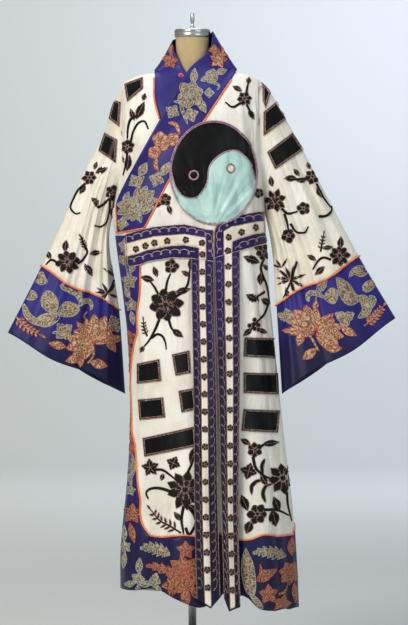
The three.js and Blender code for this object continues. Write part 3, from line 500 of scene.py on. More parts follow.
creamSatin = satin("ivory_silk_satin", stops("#D8D3C2 #E8E5DA #F0EEE6", 0.3, 0.5, 0.72), 0.44, 0.2,
                   stain="#CDBE98", bump=0.14, crush=0.9)
sleeveSatin = satin("ivory_sleeve_satin", stops("#D4CEBA #E5E1D3 #EFECE2", 0.28, 0.5, 0.75), 0.44, 0.2,
                    stain="#C6B68C", bump=0.14, crush=0.9)
# the blue satins carry painted shade: each is darkened to its given colour below the given heights
blueSatin = satin("violet_blue_satin", stops("#1E195E #27206E #322A80"), 0.42, 0.08,
                  bump=0.14, paintedShade=("#0E0B24", 0.14, 0.8), specular=0.28)
cuffSatin = satin("cuff_blue_satin", stops("#221D68 #2B2478 #352D88"), 0.42, 0.08,
                  bump=0.14, paintedShade=("#090620", 0.78, 1.0), specular=0.25)
sashBlue = satin("sash_blue_satin", stops("#1B164C #241D5C #30286E"), 0.45, 0.08, bump=0.14,
                 paintedShade=("#0B0914", 0.45, 1.3), specular=0.22)
orangeSatin = satin("orange_piping_satin", stops("#D9622A #E8793A #F09A5C"), 0.4, 0.2,
                    weaveMm=2.4, cloudMm=20, bump=0.5)
blackSatin = satin("black_satin", stops("#030404 #070808 #101211"), 0.34, 0.0,
                   cloudMm=30, bump=0.2, specular=0.18)
tealSatin = satin("pale_teal_satin", stops("#9AC4BE #B2D6D0 #C8E5E0"), 0.36, 0.1,
                  cloudMm=60, bump=0.16, crush=0.3)
creamStripe = satin("stripe_cream_satin", stops("#DAD1BA #E9E2CF #F2EDE0"), 0.45, 0.2)
blackVelvet = velvet("black_cut_velvet", stops("#070606 #100D0D #2A1E1B", 0.3, 0.5, 0.78), sheen=0.02)
couchedBrown = threadWork("brown_couched_cord", stops("#5A3B38 #8B6A64 #B39A8C"), pitchMm=1.6)
dullGold = threadWork("dull_gold_thread", stops("#5E4833 #8F785A #B5A284", 0.28, 0.5, 0.74), pitchMm=2.6)
paleOutline = threadWork("grey_blue_silk_cord", stops("#6F8086 #96A8A8 #BCC8C2"), pitchMm=1.6)
redBrown = threadWork("red_brown_thread", stops("#5A2E1E #8A5338 #AE7C56", 0.28, 0.5, 0.74), pitchMm=2.6)
roseGold = threadWork("rose_gold_thread", stops("#6A4630 #A07850 #C8A888", 0.28, 0.5, 0.74), pitchMm=2.6)
redOutline = threadWork("orange_red_silk_cord", stops("#9C3A26 #BE5237 #D4785A"), pitchMm=1.6)
lilacCord = threadWork("lilac_silk_cord", stops("#8A5F7C #A57F95 #C9A9B0"), pitchMm=1.4)
sashThread = threadWork("sash_pink_gold_thread", stops("#8A6258 #B9968A #D9C3AE"),
                        pitchMm=1.4)
streamerThread = threadWork("dull_brown_thread", stops("#4A3532 #7A625A #A8917E"),
                            pitchMm=1.4)
pinkSilk = satin("pink_silk_knot", stops("#B8446A #D0567C #E68AA4"), 0.4, 0.3, cloudMm=8)
creamThread = velvet("cream_silk_floss", stops("#D8CFB4 #EDE6D2 #F7F3E8", 0.3, 0.5, 0.78), 0.5, 0.2)
print("cloth materials made")

panels = {"topRows": 78, "skirtRows": 130, "outerCols": 126, "innerCols": 58, "backCols": 64, "wall": 1.8,
          "neckWide": 90, "neckDeep": 64}


def rowHeights(angle, topRows, skirtRows):  # angle has one row of columns
    top = armholeHeight(np.linspace(0, 1, topRows))[:, None] + 0 * angle[None]
    share = np.linspace(0, 1, skirtRows + 1)[1:, None]
    return np.concatenate([top, mix(robe["armpit"], hemHeight(angle)[None], share)])


def edgeAngle(t, edge):  # angle at which the front crosses a cut given as x and z
    line = np.array(edge, float)
    angles = np.linspace(-90, 90, 721)
    found = []
    for height in t:
        p = bodyPoint(angles, np.full(angles.shape, height))
        gap = p[:, 0] - np.interp(p[:, 2], line[:, 1], line[:, 0])
        over = np.nonzero(gap > 0)[0]
        found.append(angles[over[0]] if len(over) else 90.0)
    return np.array(found)


def softened(values, reach=3):
    kernel = np.hanning(2 * reach + 3)[1:-1]
    kernel /= kernel.sum()
    padded = np.concatenate([np.full(reach, values[0]), values, np.full(reach, values[-1])])
    return np.convolve(padded, kernel, "valid")


def bodyPanel(name, startOf, endOf, cols, material, layerAt, neck=False):
    wall, topRows, skirtRows = panels["wall"], panels["topRows"], panels["skirtRows"]
    across = np.linspace(0, 1, cols)
    topT = armholeHeight(np.linspace(0, 1, topRows))
    start, end = startOf(topT), endOf(topT)
    lowStart, lowEnd = startOf(np.array([robe["armpit"] - 1.0]))[0], endOf(np.array([robe["armpit"] - 1.0]))[0]
    starts = np.concatenate([start, mix(start[-1], lowStart, np.minimum(1, np.arange(1, skirtRows + 1) / 2))])
    ends = np.concatenate([end, np.full(skirtRows, lowEnd)])
    angle = mix(starts[:, None], ends[:, None], across[None])
    t = rowHeights(angle[-1], topRows, skirtRows)
    if neck:  # the back is cut out round the neck
        reach = np.linspace(1330, shoulderFold - 1, 120)[:, None]
        p = bodyPoint(angle[:1] + 0 * reach, reach)
        cutOut = (p[..., 0] / panels["neckWide"]) ** 2 + (p[..., 1] / panels["neckDeep"]) ** 2 < 1
        limit = np.where(cutOut.any(0), reach[np.argmax(cutOut, 0), 0], shoulderFold - 0.5)
        share = np.linspace(0, 1, topRows)[:, None] ** 0.86
        t[:topRows] = mix(np.minimum(limit, shoulderFold - 0.5)[None], robe["armpit"], share)
    point, normal = bodyPoint(angle, t, True, True), bodyNormal(angle, t, True, True)
    base = layerAt(angle)[..., None]
    return clothWall(name, point + normal * (base + wall), point + normal * base, material, flip=True)


seamAngle = robe["seamAngle"]
outerStart = lambda t: np.maximum(softened(edgeAngle(t, robe["closure"])), -armholeEdge(t) + seamAngle)
innerEnd = lambda t: np.minimum(softened(edgeAngle(t, robe["innerEdge"])), armholeEdge(t) - seamAngle)
frontOuter = bodyPanel("front_outer_satin", outerStart, lambda t: armholeEdge(t) - seamAngle,
                       panels["outerCols"], creamSatin, lambda a: robe["outerLayer"] + 0 * a)
frontInner = bodyPanel("front_inner_satin", lambda t: -armholeEdge(t) + seamAngle, innerEnd,
                       panels["innerCols"], creamSatin, lambda a: 0 * a)
backLayer = lambda a: robe["outerLayer"] * smooth((270 - a) / 180)
backLeft = bodyPanel("back_left_satin", lambda t: 180 - armholeEdge(t) + seamAngle,
                     lambda t: 180 - seamAngle + 0 * t, panels["backCols"], creamSatin, backLayer, True)
backRight = bodyPanel("back_right_satin", lambda t: 180 + seamAngle + 0 * t,
                      lambda t: 180 + armholeEdge(t) - seamAngle, panels["backCols"], creamSatin, backLayer, True)
print("body panels made")


def sleeveWall(name, side, fromW, toW, rows, cols, low, high, material):
    w = np.linspace(fromW, toW, rows)[:, None]
    k = (np.arange(cols) / cols)[None]
    grid = sleevePoint(side, w, k)
    out = -sleeves[side]["sign"] * gridNormal(grid, True)
    if fromW == 0:
        grid[0, :, 0] += sleeves[side]["sign"] * 0.8
    return clothWall(name, grid + out * high, grid + out * low, material, ring=True,
                     flip=sleeves[side]["sign"] > 0)


sleeveObjects, cuffObjects = {}, {}
for side in ("left", "right"):
    edge = sleeves[side]["cuff"]
    sleeveObjects[side] = sleeveWall("sleeve_%s_satin" % side, side, 0, edge - 0.001, 100, 150, 0, 1.8, sleeveSatin)
    cuffObjects[side] = sleeveWall("cuff_%s_satin" % side, side, edge, 1, 44, 150, 0, 1.8, cuffSatin)
print("sleeves made")


class Carrier:  # a finished cloth that other pieces lie on, with smooth normals, in millimetres
    def __init__(self, *objects):
        self.points, self.normals, self.faces = [], [], []
        for obj in objects:
            start = len(self.points)
            self.points += [v.co * 1000 for v in obj.data.vertices]
            self.normals += [v.normal.copy() for v in obj.data.vertices]
            self.faces += [[start + v for v in p.vertices] for p in obj.data.polygons]
        self.tree = BVHTree.FromPolygons(self.points, self.faces)

    def lay(self, flat, heights, fromBack=False, strict=False):  # flat is x and z, from the front or the back
        far = 900.0 if fromBack else -900.0
        way = Vector((0, -1 if fromBack else 1, 0))
        placed, lastY = np.empty((len(flat), 3)), far
        for i, (x, z) in enumerate(flat):
            hit, normal, face, _ = self.tree.ray_cast(Vector((x, far, z)), way)
            if hit is None:
                hit, normal, face, _ = self.tree.find_nearest(Vector((x, lastY, z)))
                if strict and math.hypot(hit.x - x, hit.z - z) > 1.0:
                    placed[i] = np.nan  # off the cloth: the shape is trimmed there
                    continue
            corners = self.faces[face]
            total = Vector((0, 0, 0))
            for c in corners:
                total += self.normals[c] / ((hit - self.points[c]).length + 0.2)
            normal = total.normalized() if total.length > 1e-6 else normal
            if normal.dot(way) > 0.05:
                normal = -normal
            lastY = hit.y
            placed[i] = hit + normal * float(heights[i])
        return placed


def level(lay, flat, height):  # lays a line or an outline at one height
    return lay(flat, np.full(len(flat), height))


def circle(count):
    turn = np.linspace(0, 2 * np.pi, count + 1)[:-1]
    return np.column_stack([np.cos(turn), np.sin(turn)])


def ways(path):  # the way a flat line runs, and the way across it
    way = unit(np.gradient(path, axis=0))
    return way, np.column_stack([-way[:, 1], way[:, 0]])


def ringFaces(rows, cols):  # walls of a stack of rings, with the lowest one closed
    walls = [(j * cols + i, j * cols + (i + 1) % cols, (j + 1) * cols + (i + 1) % cols, (j + 1) * cols + i)
             for j in range(rows - 1) for i in range(cols)]
    return walls + [tuple(range(cols))[::-1]]


def densify(outline, step, closed=True):
    out = []
    count = len(outline)
    for i in range(count if closed else count - 1):
        a, b = np.array(outline[i], float), np.array(outline[(i + 1) % count], float)
        parts = max(1, int(round(np.linalg.norm(b - a) / step)))
        out += [a + (b - a) * j / parts for j in range(parts)]
    if not closed:
        out.append(np.array(outline[-1], float))
    return np.array(out)


def curved(points, step, closed=False):  # smooth curve through a few points
    pts = np.array(points, float)
    gaps = np.linalg.norm(np.diff(np.vstack([pts, pts[:1]]) if closed else pts, axis=0), axis=1)
    key = np.concatenate([[0], np.cumsum(gaps)])
    if closed:
        pts = np.vstack([pts[-2:], pts, pts[:3]])
        key = np.concatenate([[-gaps[-1] - gaps[-2], -gaps[-1]], key, key[-1] + np.cumsum(gaps[:2])])
    at = np.linspace(0, sum(gaps), max(3, int(sum(gaps) / step) + 1))[:-1 if closed else None]
    return np.stack(along(np.column_stack([key, pts]), at), -1)


def inside(points, outline):
    x, y = points[:, 0], points[:, 1]
    result = np.zeros(len(points), bool)
    n = len(outline)
    for i in range(n):
        x1, y1 = outline[i]
        x2, y2 = outline[(i + 1) % n]
        cross = ((y1 > y) != (y2 > y)) & (x < (x2 - x1) * (y - y1) / (y2 - y1 + 1e-12) + x1)
        result ^= cross
    return result


def flatMesh(outline, step):  # triangles that fill an outline, with a net of points inside it
    rim = densify(outline, step)
    low, high = rim.min(0), rim.max(0)
    gx, gy = np.meshgrid(np.arange(low[0], high[0], step), np.arange(low[1], high[1], step * 0.87))
    gx[1::2] += step / 2
    net = np.column_stack([gx.ravel(), gy.ravel()])
    net = net[inside(net, rim)]
    if len(net):
        gap = np.full(len(net), 1e9)
        for p in rim:
            gap = np.minimum(gap, np.hypot(net[:, 0] - p[0], net[:, 1] - p[1]))
        net = net[gap > step * 0.55]
    points = np.vstack([rim, net]) if len(net) else rim
    count = len(rim)
    verts, _, faces, _, _, _ = delaunay_2d_cdt([Vector(p) for p in points], [], [list(range(count))], 1, 1e-4)
    flat = np.array([(v.x, v.y) for v in verts])
    edges = {}
    for f in faces:
        for i in range(len(f)):
            a, b = f[i], f[(i + 1) % len(f)]
            edges[(a, b)] = edges.get((a, b), 0) + 1
    rimEdges = [e for e in edges if (e[1], e[0]) not in edges]
    return flat, faces, rimEdges


def patch(name, outline, low, high, material, place, step=5.0, crown=None):
    flat, faces, rimEdges = flatMesh(outline, step)
    top = place(flat, np.full(len(flat), float(high)) + (crown(flat) if crown else 0))
    under = place(flat, np.full(len(flat), float(low)))
    n = len(flat)
    allFaces = [tuple(f) for f in faces] + [tuple(v + n for v in reversed(f)) for f in faces]
    allFaces += [(b, a, a + n, b + n) for a, b in rimEdges]
    return newObject(name, np.vstack([top, under]), allFaces, material)


def tube(path, radius, sides=6, flatten=1.0, normals=None, closed=False):
    path = np.asarray(path, float)
    if closed:
        tangent = np.roll(path, -1, 0) - np.roll(path, 1, 0)
    else:
        tangent = np.gradient(path, axis=0)
    tangent = unit(tangent)
    up = np.tile([0.0, -1.0, 0.0], (len(path), 1)) if normals is None else normals
    side = unit(np.cross(tangent, up))
    up = np.cross(side, tangent)
    radius = np.broadcast_to(np.asarray(radius, float), (len(path),))[:, None]
    rings = [path + radius * (side * math.cos(a) + up * math.sin(a) * flatten)
             for a in np.arange(sides) * 2 * math.pi / sides]
    points = np.stack(rings, 1).reshape(-1, 3)
    n, faces = len(path), []
    for j in range(n if closed else n - 1):
        for i in range(sides):
            a, b = j * sides + i, j * sides + (i + 1) % sides
            c, d = ((j + 1) % n) * sides + (i + 1) % sides, ((j + 1) % n) * sides + i
            faces.append((d, c, b, a))
    if not closed:
        faces.append(tuple(range(sides)))
        faces.append(tuple((n - 1) * sides + i for i in range(sides))[::-1])
    return points, faces


class Pile:  # gathers many small shapes into one mesh
    def __init__(self):
        self.points, self.faces, self.count = [], [], 0

    def put(self, points, faces):
        self.points.append(np.asarray(points, float))
        self.faces += [tuple(v + self.count for v in f) for f in faces]
        self.count += len(points)

    def make(self, name, material):
        return newObject(name, np.concatenate(self.points), self.faces, material)


carriers = {
    "front": Carrier(frontOuter), "inner": Carrier(frontInner), "back": Carrier(backLeft, backRight),
    "sleeve_left": Carrier(sleeveObjects["left"]), "sleeve_right": Carrier(sleeveObjects["right"]),
    "cuff_left": Carrier(cuffObjects["left"]), "cuff_right": Carrier(cuffObjects["right"]),
}
bars = {
    "bar_inner_1": ("inner", [(-183, 1546), (-133, 1564), (-132, 1532), (-174, 1497)]),
    "bar_sleeve_right_1": ("sleeve_right", [(-212, 1505), (-192, 1497), (-196, 1430), (-224, 1454)]),
    "bar_sleeve_right_2": ("sleeve_right", [(-236, 1416), (-202, 1396), (-206, 1333), (-252, 1367)]),
    "bar_sleeve_left_1": ("sleeve_left", [(188, 1556), (212, 1530), (197, 1480), (189, 1502)]),
    "bar_sleeve_left_2": ("sleeve_left", [(226, 1500), (255, 1454), (191, 1406), (191, 1470)]),
    "bar_sleeve_left_3": ("sleeve_left", [(269, 1416), (299, 1370), (223, 1316), (201, 1362)]),
    "bar_outer_1": ("front", [(-147, 794), (-87, 807), (-82, 749), (-147, 741)]),
    "bar_outer_2": ("front", [(-54, 819), (-8, 830), (-4, 771), (-44, 763)]),
    "bar_outer_3": ("front", [(-144, 698), (-77, 705), (-71, 652), (-140, 644)]),
    "bar_outer_4": ("front", [(-36, 722), (4, 730), (10, 674), (-28, 665)]),
    "bar_outer_5": ("front", [(-132, 595), (6, 628), (10, 576), (-127, 546)]),
    "bar_outer_6": ("front", [(139, 865), (220, 862), (226, 808), (137, 814)]),
    "bar_outer_7": ("front", [(137, 771), (228, 768), (231, 711), (137, 717)]),
    "bar_outer_8": ("front", [(137, 674), (234, 668), (228, 609), (131, 617)]),
}
frontLay = carriers["front"].lay
barCords = Pile()
barCord = {"radius": 1.25, "gap": 3.4, "height": 2.2}
for name, (on, outline) in bars.items():
    carrier = carriers[on]
    corners = np.array(outline, float)
    middle = corners.mean(0)
    patch(name + "_satin", outline[::-1], 0.5, 1.8, blackSatin, carrier.lay, 6.0)
    for gap in (0.6, barCord["gap"] + 0.9):  # two couched cords round the edge
        pulled = []
        for i in range(4):
            a, b, c = corners[i - 1], corners[i], corners[(i + 1) % 4]
            u, v = (a - b) / np.linalg.norm(a - b), (c - b) / np.linalg.norm(c - b)
            pulled.append(b + (u + v) / max(0.5, abs(u[0] * v[1] - u[1] * v[0])) * (gap - 0.2))
        loop = densify(pulled, 5.0)
        barCords.put(*tube(level(carrier.lay, loop, barCord["height"]), barCord["radius"], 5, 0.8, closed=True))
barCords.make("bar_cords", couchedBrown)
print("bars made")


def angleOf(x, z):  # cloth angle of the folded front at x and z below the bust
    angles = np.linspace(-89.9, 89.9, 361)
    out = []
    for xi, zi in zip(np.atleast_1d(x), np.atleast_1d(z)):
        line = bodyPoint(angles, np.full(angles.shape, float(zi)))[:, 0]
        out.append(np.interp(xi, np.maximum.accumulate(line), angles))
    return np.array(out)


def onBody(flat, heights, layer=None):  # flat is the cloth angle times 3 and the cloth height
    angle, t = flat[:, 0] / 3, flat[:, 1]
    base = (robe["outerLayer"] if layer is None else layer(angle)) + panels["wall"]
    normal = bodyNormal(angle, t, True, True)
    return bodyPoint(angle, t, True, True) + normal * (base + heights)[:, None]


border = {
    "low": 0.5, "high": 1.9, "piping": 2.5,
    "edge": [(-134, 1139), (-137, 1049), (-141, 933), (-150, 857), (-156, 800), (-154, 644), (-145, 541),
             (-141, 425), (-131, 363), (-106, 336), (-75, 331), (-21, 336), (18, 333), (75, 341),
             (129, 325), (157, 325), (188, 336), (223, 331)],
    "backEdge": {"left": [(180, 352), (156, 346), (130, 348), (108, 362), (90, 358)],
                 "right": [(180, 352), (204, 346), (232, 350), (252, 352), (270, 352)]},
}
edgeXz = curved(border["edge"], 8.0)
edgeParam = np.column_stack([angleOf(edgeXz[:, 0], edgeXz[:, 1]) * 3, edgeXz[:, 1]])
edgeParam = densify(np.vstack([edgeParam, [[228, 333], [250, 339], [269.5, 352]]]), 6.0, False)
hemAngles = np.linspace(89.85, -89.85, 80)
hemLine = np.column_stack([hemAngles * 3, hemHeight(hemAngles) + 0.4])
borderFront = patch("border_front_satin",
                    np.vstack([hemLine[::-1], edgeParam[::-1][:1] + [[0, 0]], edgeParam[::-1][1:], [[-269.5, 1139]]]),
                    border["low"], border["high"], blueSatin, onBody, 8.0)


def pipingOn(name, placed, radius):
    return newObject(name, *tube(placed, radius, 8, 0.75), orangeSatin)


pipingParam = edgeParam[2:].copy()
pipingAcross = ways(pipingParam)[1]
pipingParam += pipingAcross * 2.2
pipingOn("piping_border_cord", level(onBody, pipingParam, 1.6), border["piping"])
backPiping = Pile()
for side, rows in border["backEdge"].items():
    sign = 1 if side == "left" else -1
    edge = curved(rows, 8.0)
    line = edge[np.argsort(edge[:, 0])]
    flat = np.column_stack([line[:, 0] * 3, line[:, 1] + 2.2])
    backPiping.put(*tube(onBody(flat, np.full(len(flat), 1.5), backLayer), 2.4, 8, 0.75))
    edge[0, 0] = 180 - sign * 0.15
    ends = (90.15, 179.85) if side == "left" else (180.15, 269.85)
    edge = edge[np.argsort(edge[:, 0])]
    edge[:, 0] = np.clip(edge[:, 0], *ends)
    hemAngles = np.linspace(ends[0], ends[1], 50)
    outline = np.vstack([np.column_stack([hemAngles * 3, hemHeight(hemAngles) + 0.4]),
                         np.column_stack([edge[:, 0] * 3, edge[:, 1]])[::-1]])
    patch("border_back_%s_satin" % side, outline, border["low"], border["high"], blueSatin,
          lambda f, h: onBody(f, h, backLayer), 9.0)
backPiping.make("piping_back_cord", orangeSatin)
print("borders made")

sash = {
    "right": [(-177, 1141), (-102, 1160), (-20, 1166), (31, 1154), (56, 1151), (58, 1068), (-4, 1076),
              (-52, 1078), (-119, 1068), (-136, 1060), (-173, 1054)],
    "left": [(60, 1156), (66, 1162), (104, 1186), (169, 1200), (192, 1203), (193, 1150), (202, 1119),
             (129, 1097), (60, 1078)],
    "creamRight": [(-177, 1116), (-102, 1134), (-20, 1140), (36, 1131), (37, 1071), (18, 1073), (18, 1103),
                   (-20, 1111), (-60, 1109), (-119, 1098), (-150, 1087), (-175, 1082)],
    "creamLeft": [(84, 1148), (104, 1160), (169, 1174), (193, 1177), (196, 1147), (169, 1142), (129, 1130),
                  (107, 1121), (106, 1092), (84, 1085)],
    "low": {"right": 3.2, "left": 0.6}, "thick": 1.4,
}
sashObjects = {}
for side in ("right", "left"):
    low = sash["low"][side]
    sashObjects[side] = patch("sash_%s_satin" % side, sash[side][::-1], low, low + sash["thick"], sashBlue,
                              frontLay, 6.0)
    cream = sash["cream" + side.capitalize()]
    sashObjects["cream_" + side] = patch("sash_stripe_" + side, cream[::-1], low + sash["thick"] + 0.05,
                                         low + sash["thick"] + 0.75, creamStripe, frontLay, 6.0)

streamers = {
    "right": {"x": (-2, 57.6), "z": (1075.3, 1067.6), "foot": (10, 72, 169, 177), "tip": (47, 147),
              "stripe": (0.335, 0.62), "off": 3.6},
    "left": {"x": (60.4, 127), "z": (1077.7, 1096), "foot": (82, 125, 174, 151), "tip": (95, 139),
             "stripe": (0.375, 0.69), "off": 1.2},
    "rows": 190, "cols": 30, "thick": 1.4,
}


def streamerPoint(side, u, v):
    s = streamers[side]
    (x1, x2), (z1, z2), (f1, f2, g1, g2), tip = s["x"], s["z"], s["foot"], s["tip"]
    tipShare = (tip[0] - f1) / (f2 - f1)
    towards = np.where(u < tipShare, u / tipShare, (1 - u) / (1 - tipShare))
    bottom = mix(np.where(u < tipShare, g1, g2), tip[1], towards)
    top = mix(z1, z2, u)
    x = mix(mix(x1, x2, u), mix(f1, f2, u), smooth(v * 1.15)) + 4 * np.sin(7 * v) * v
    z = mix(top, bottom, v)
    shape = np.asarray(x).shape
    left, right = along([(r[0], r[1], r[2]) for r in robe["sections"]], z)
    share = np.clip((x - (left + right) / 2) / ((right - left) / 2), -0.9999, 0.9999)
    angle = np.degrees(np.arcsin(signedPower(share, 1 / 0.9)))
    free = bodyPoint(angle, z, False)[..., 1] - robe["outerLayer"] - 25
    cloth = frontLay(np.column_stack([x.ravel(), z.ravel()]), np.zeros(x.size))[:, 1].reshape(shape)
    hung = cloth[:1] - s["off"]
    folds = 1.8 * np.sin(u * 9 + 2.4 * v) * smooth(v * 3) + 1.3 * np.sin(u * 15 - 4 * v + 1) * smooth(v * 2)
    y = mix(hung, free - 3 * np.sin(9 * v + 4 * u) + folds, smooth(v * 4))
    return np.stack([x, np.minimum(y, cloth - 2.6), z], -1)


def streamerGrid(side, us):
    u, v = np.meshgrid(us, np.linspace(0, 1, streamers["rows"]))
    return streamerPoint(side, u, v)


streamerObjects = {}
for side in ("right", "left"):
    grid = streamerGrid(side, np.linspace(0, 1, streamers["cols"]))
    out = np.array([0.0, -1.0, 0.0])
    streamerObjects[side] = clothWall("streamer_%s_satin" % side, grid + out * streamers["thick"], grid,
                                      sashBlue, flip=True)
    a, b = streamers[side]["stripe"]
    strip = streamerGrid(side, np.linspace(a, b, 9))[: streamers["rows"] - 1]
    streamerObjects["cream_" + side] = clothWall("streamer_stripe_" + side, strip + out * 2.1, strip + out * 1.45,
                                                 creamStripe, flip=True)
print("sash and streamers made")

# edge by the neck (x y z) and outer edge (x y z), then how far each rests on the fronts
collars = {
    "outer": [
        (0.3, 56, 1676, 0, 0.3, 78, 1546, 0), (28, 50, 1680, 0, 50, 72, 1552, 0),
        (48, 26, 1687, 0, 90, 50, 1570, 0), (54, 2, 1689, 0, 114, 16, 1584, 0),
        (52, -18, 1668, 0, 118, -10, 1584, 0), (46, -34, 1640, 0, 104, -40, 1556, 1),
        (28, -46, 1620, 0, 86, -50, 1529, 1), (8, -56, 1602, 0, 68, -60, 1501, 1),
        (-16, -62, 1575, 0.2, 46, -70, 1467, 1), (-40, -70, 1531, 1, 20, -90, 1426, 1),
        (-63, -90, 1490, 1, -8, -110, 1378, 1), (-86, -100, 1448, 1, -36, -120, 1330, 1),
        (-122, -110, 1384, 1, -63, -130, 1284, 1), (-158, -120, 1319, 1, -86, -130, 1238, 1),
        (-182, -100, 1275, 1, -104, -130, 1202, 1), (-203, -60, 1222, 1, -120, -120, 1172, 1),
        (-199, -60, 1147, 1, -128, -110, 1159, 1),
    ],
    "under": [
        (-0.3, 56, 1676, 0, -0.3, 78, 1546, 0), (-28, 50, 1676, 0, -50, 72, 1552, 0),
        (-48, 26, 1670, 0, -84, 50, 1568, 0), (-54, 2, 1660, 0, -100, 16, 1582, 0),
        (-48, -26, 1634, 0, -101, -10, 1582, 0), (-34, -44, 1604, 0, -100, -50, 1548, 1),
        (-16, -50, 1573, 0.4, -100, -70, 1514, 1), (8, -60, 1530, 1, -94, -80, 1480, 1),
        (30, -80, 1490, 1, -82, -90, 1440, 1),
    ],
    "rows": 130, "cols": 22,
}


def collarBand(name, side, carrier, low, high, material, cover=None):
    table = np.array(collars[side], float)
    at = np.linspace(0, len(table) - 1, collars["rows"])
    read = np.stack(along(np.column_stack([np.arange(len(table)), table]), at), -1)
    share = np.linspace(0, 1, collars["cols"])[None, :, None]
    full = mix(read[:, None, 4:], read[:, None, :4], share)
    grid, lie = full[..., :3], np.clip(full[..., 3], 0, 1)
    flat = grid[..., [0, 2]].reshape(-1, 2)
    rest = carrier.lay(flat, np.zeros(len(flat)))[:, 1].reshape(lie.shape)
    rest = np.where(np.abs(rest - grid[..., 1]) < 60, rest, grid[..., 1])
    grid[..., 1] = mix(grid[..., 1], rest, np.minimum(1, 1.6 * lie))
    for _ in range(3):  # evens the line where the band leaves the cloth
        grid[1:-1, :, 1] = (grid[:-2, :, 1] + 2 * grid[1:-1, :, 1] + grid[2:, :, 1]) / 4
    if cover:  # the under band stays behind the band that crosses it
        face = cover.lay(grid[..., [0, 2]].reshape(-1, 2), np.zeros(lie.size), strict=True)[:, 1].reshape(lie.shape)
        grid[..., 1] = np.where(np.isfinite(face), np.maximum(grid[..., 1], face + 3.6), grid[..., 1])
    out = gridNormal(grid)
    flip = out[-12, 4, 1] > 0
    out = -out if flip else out
    return clothWall(name, grid + out * high, grid + out * low, material, flip=flip)


collarOuter = collarBand("collar_outer_satin", "outer", carriers["front"], 1.3, 2.7, blueSatin)
carriers["collar"] = Carrier(collarOuter)
collarUnder = collarBand("collar_under_satin", "under", carriers["inner"], 0.2, 1.7, blueSatin, carriers["collar"])
carriers["collar_under"] = Carrier(collarUnder)
pipingOuter = curved([(r[4], r[6]) for r in collars["outer"][5:]], 6.0)
pipingUnder = curved([(-101, 1562), (-100, 1548), (-100, 1514), (-94, 1480), (-85, 1449)], 6.0)
pipingOn("piping_collar_cord", level(frontLay, pipingOuter + [0.6, -0.8], 1.9), 2.5)
pipingOn("piping_under_cord", level(carriers["inner"].lay, pipingUnder + [-2.6, 0], 1.6), 2.4)
bandEnd = curved([(-200, 1232), (-203, 1218), (-201, 1180), (-200, 1145)], 6.0)
bandFoot = densify([(-200, 1145), (-127, 1157)], 6.0, False)
bandPiping = Pile()
for line in (bandEnd, bandFoot):
    bandPiping.put(*tube(level(frontLay, line, 3.2), 2.2, 8, 0.75))
bandPiping.make("piping_band_end", orangeSatin)
for side in ("left", "right"):
    k = np.arange(120)[:, None] / 120
    ring = sleevePoint(side, np.full((120, 1), sleeves[side]["cuff"]), k)
    ahead = sleevePoint(side, np.full((120, 1), sleeves[side]["cuff"] + 0.01), k)
    around = np.roll(ring, -1, 0) - np.roll(ring, 1, 0)
    out = unit(np.cross(ahead - ring, around)[:, 0] * sleeves[side]["sign"])
    away = ring[:, 0] - ring[:, 0].mean(0)
    out *= np.where((out * away).sum(1, keepdims=True) < 0, -1, 1)
    newObject("piping_cuff_%s_cord" % side, *tube(ring[:, 0] + out * 3.1, 2.5, 8, 0.8, out, closed=True), orangeSatin)
print("collars and pipings made")

disc = {
    "x": 57, "z": 1304, "halfWidth": 115, "halfHeight": 137, "low": 3.1, "high": 4.4,
    "bend": [(166, 1290), (160, 1311), (146, 1340), (128, 1358), (110, 1364), (90, 1360), (66, 1346),
             (48, 1326), (42, 1305), (41, 1288), (35, 1267), (23, 1249), (4, 1236), (-22, 1240),
             (-42, 1262), (-53, 1297), (-57, 1330)],
}


def discArc(start, stop, count):
    turn = np.radians(np.linspace(start, stop, count))
    return np.column_stack([disc["x"] + disc["halfWidth"] * np.cos(turn),
                            disc["z"] + disc["halfHeight"] * np.sin(turn)])


def discFolds(flat):  # gathers that run together at the foot of the disc
    away = flat - np.array([50.0, 1150.0])
    turn, reach = np.degrees(np.arctan2(away[:, 0], away[:, 1])), np.hypot(away[:, 0], away[:, 1])
    wave = np.sin(turn * 0.42 + 0.6) + 0.6 * np.sin(turn * 0.83 + 2.0) + 0.4 * np.sin(turn * 0.21 + reach / 60)
    return 2.3 * wave * smooth((235 - reach) / 150) + 0.35 * ripple(flat[:, 0], flat[:, 1], 7, 60)


bend = curved(disc["bend"], 5.0)
darkHalf = np.vstack([discArc(-6, 168, 60), bend[::-1]])
paleHalf = np.vstack([bend, discArc(170, 352, 60)])
for name, outline, material in (("disc_dark_satin", darkHalf, blackSatin), ("disc_pale_satin", paleHalf, tealSatin)):
    patch(name, outline, disc["low"], disc["high"], material, frontLay, 5.0, discFolds)


def discLay(flat, heights):
    flat = np.asarray(flat, float)
    return frontLay(flat, heights + disc["high"] + discFolds(flat))


discCords = Pile()
loop = discArc(0, 360, 120)[:-1]
for grow, radius in ((1.005, 1.5), (0.978, 1.1)):
    ring = (loop - [disc["x"], disc["z"]]) * grow + [disc["x"], disc["z"]]
    discCords.put(*tube(level(discLay, ring, 0.7), radius, 6, 0.8, closed=True))
discCords.put(*tube(level(discLay, bend, 0.7), 1.9, 6, 0.8))
discCords.make("disc_cords", lilacCord)
for name, x, z, material, ringMaterial in (
        ("eye_dark", 4, 1297, blackSatin, lilacCord), ("eye_pale", 100, 1316, creamThread, couchedBrown)):
    rim = circle(28)
    patch(name + "_silk", rim * 10.5 + [x, z], 0.3, 1.3, material, discLay, 4.0)
    newObject(name + "_ring", *tube(level(discLay, rim * 11.5 + [x, z], 1.2), 2.2, 8, 0.7, closed=True), ringMaterial)

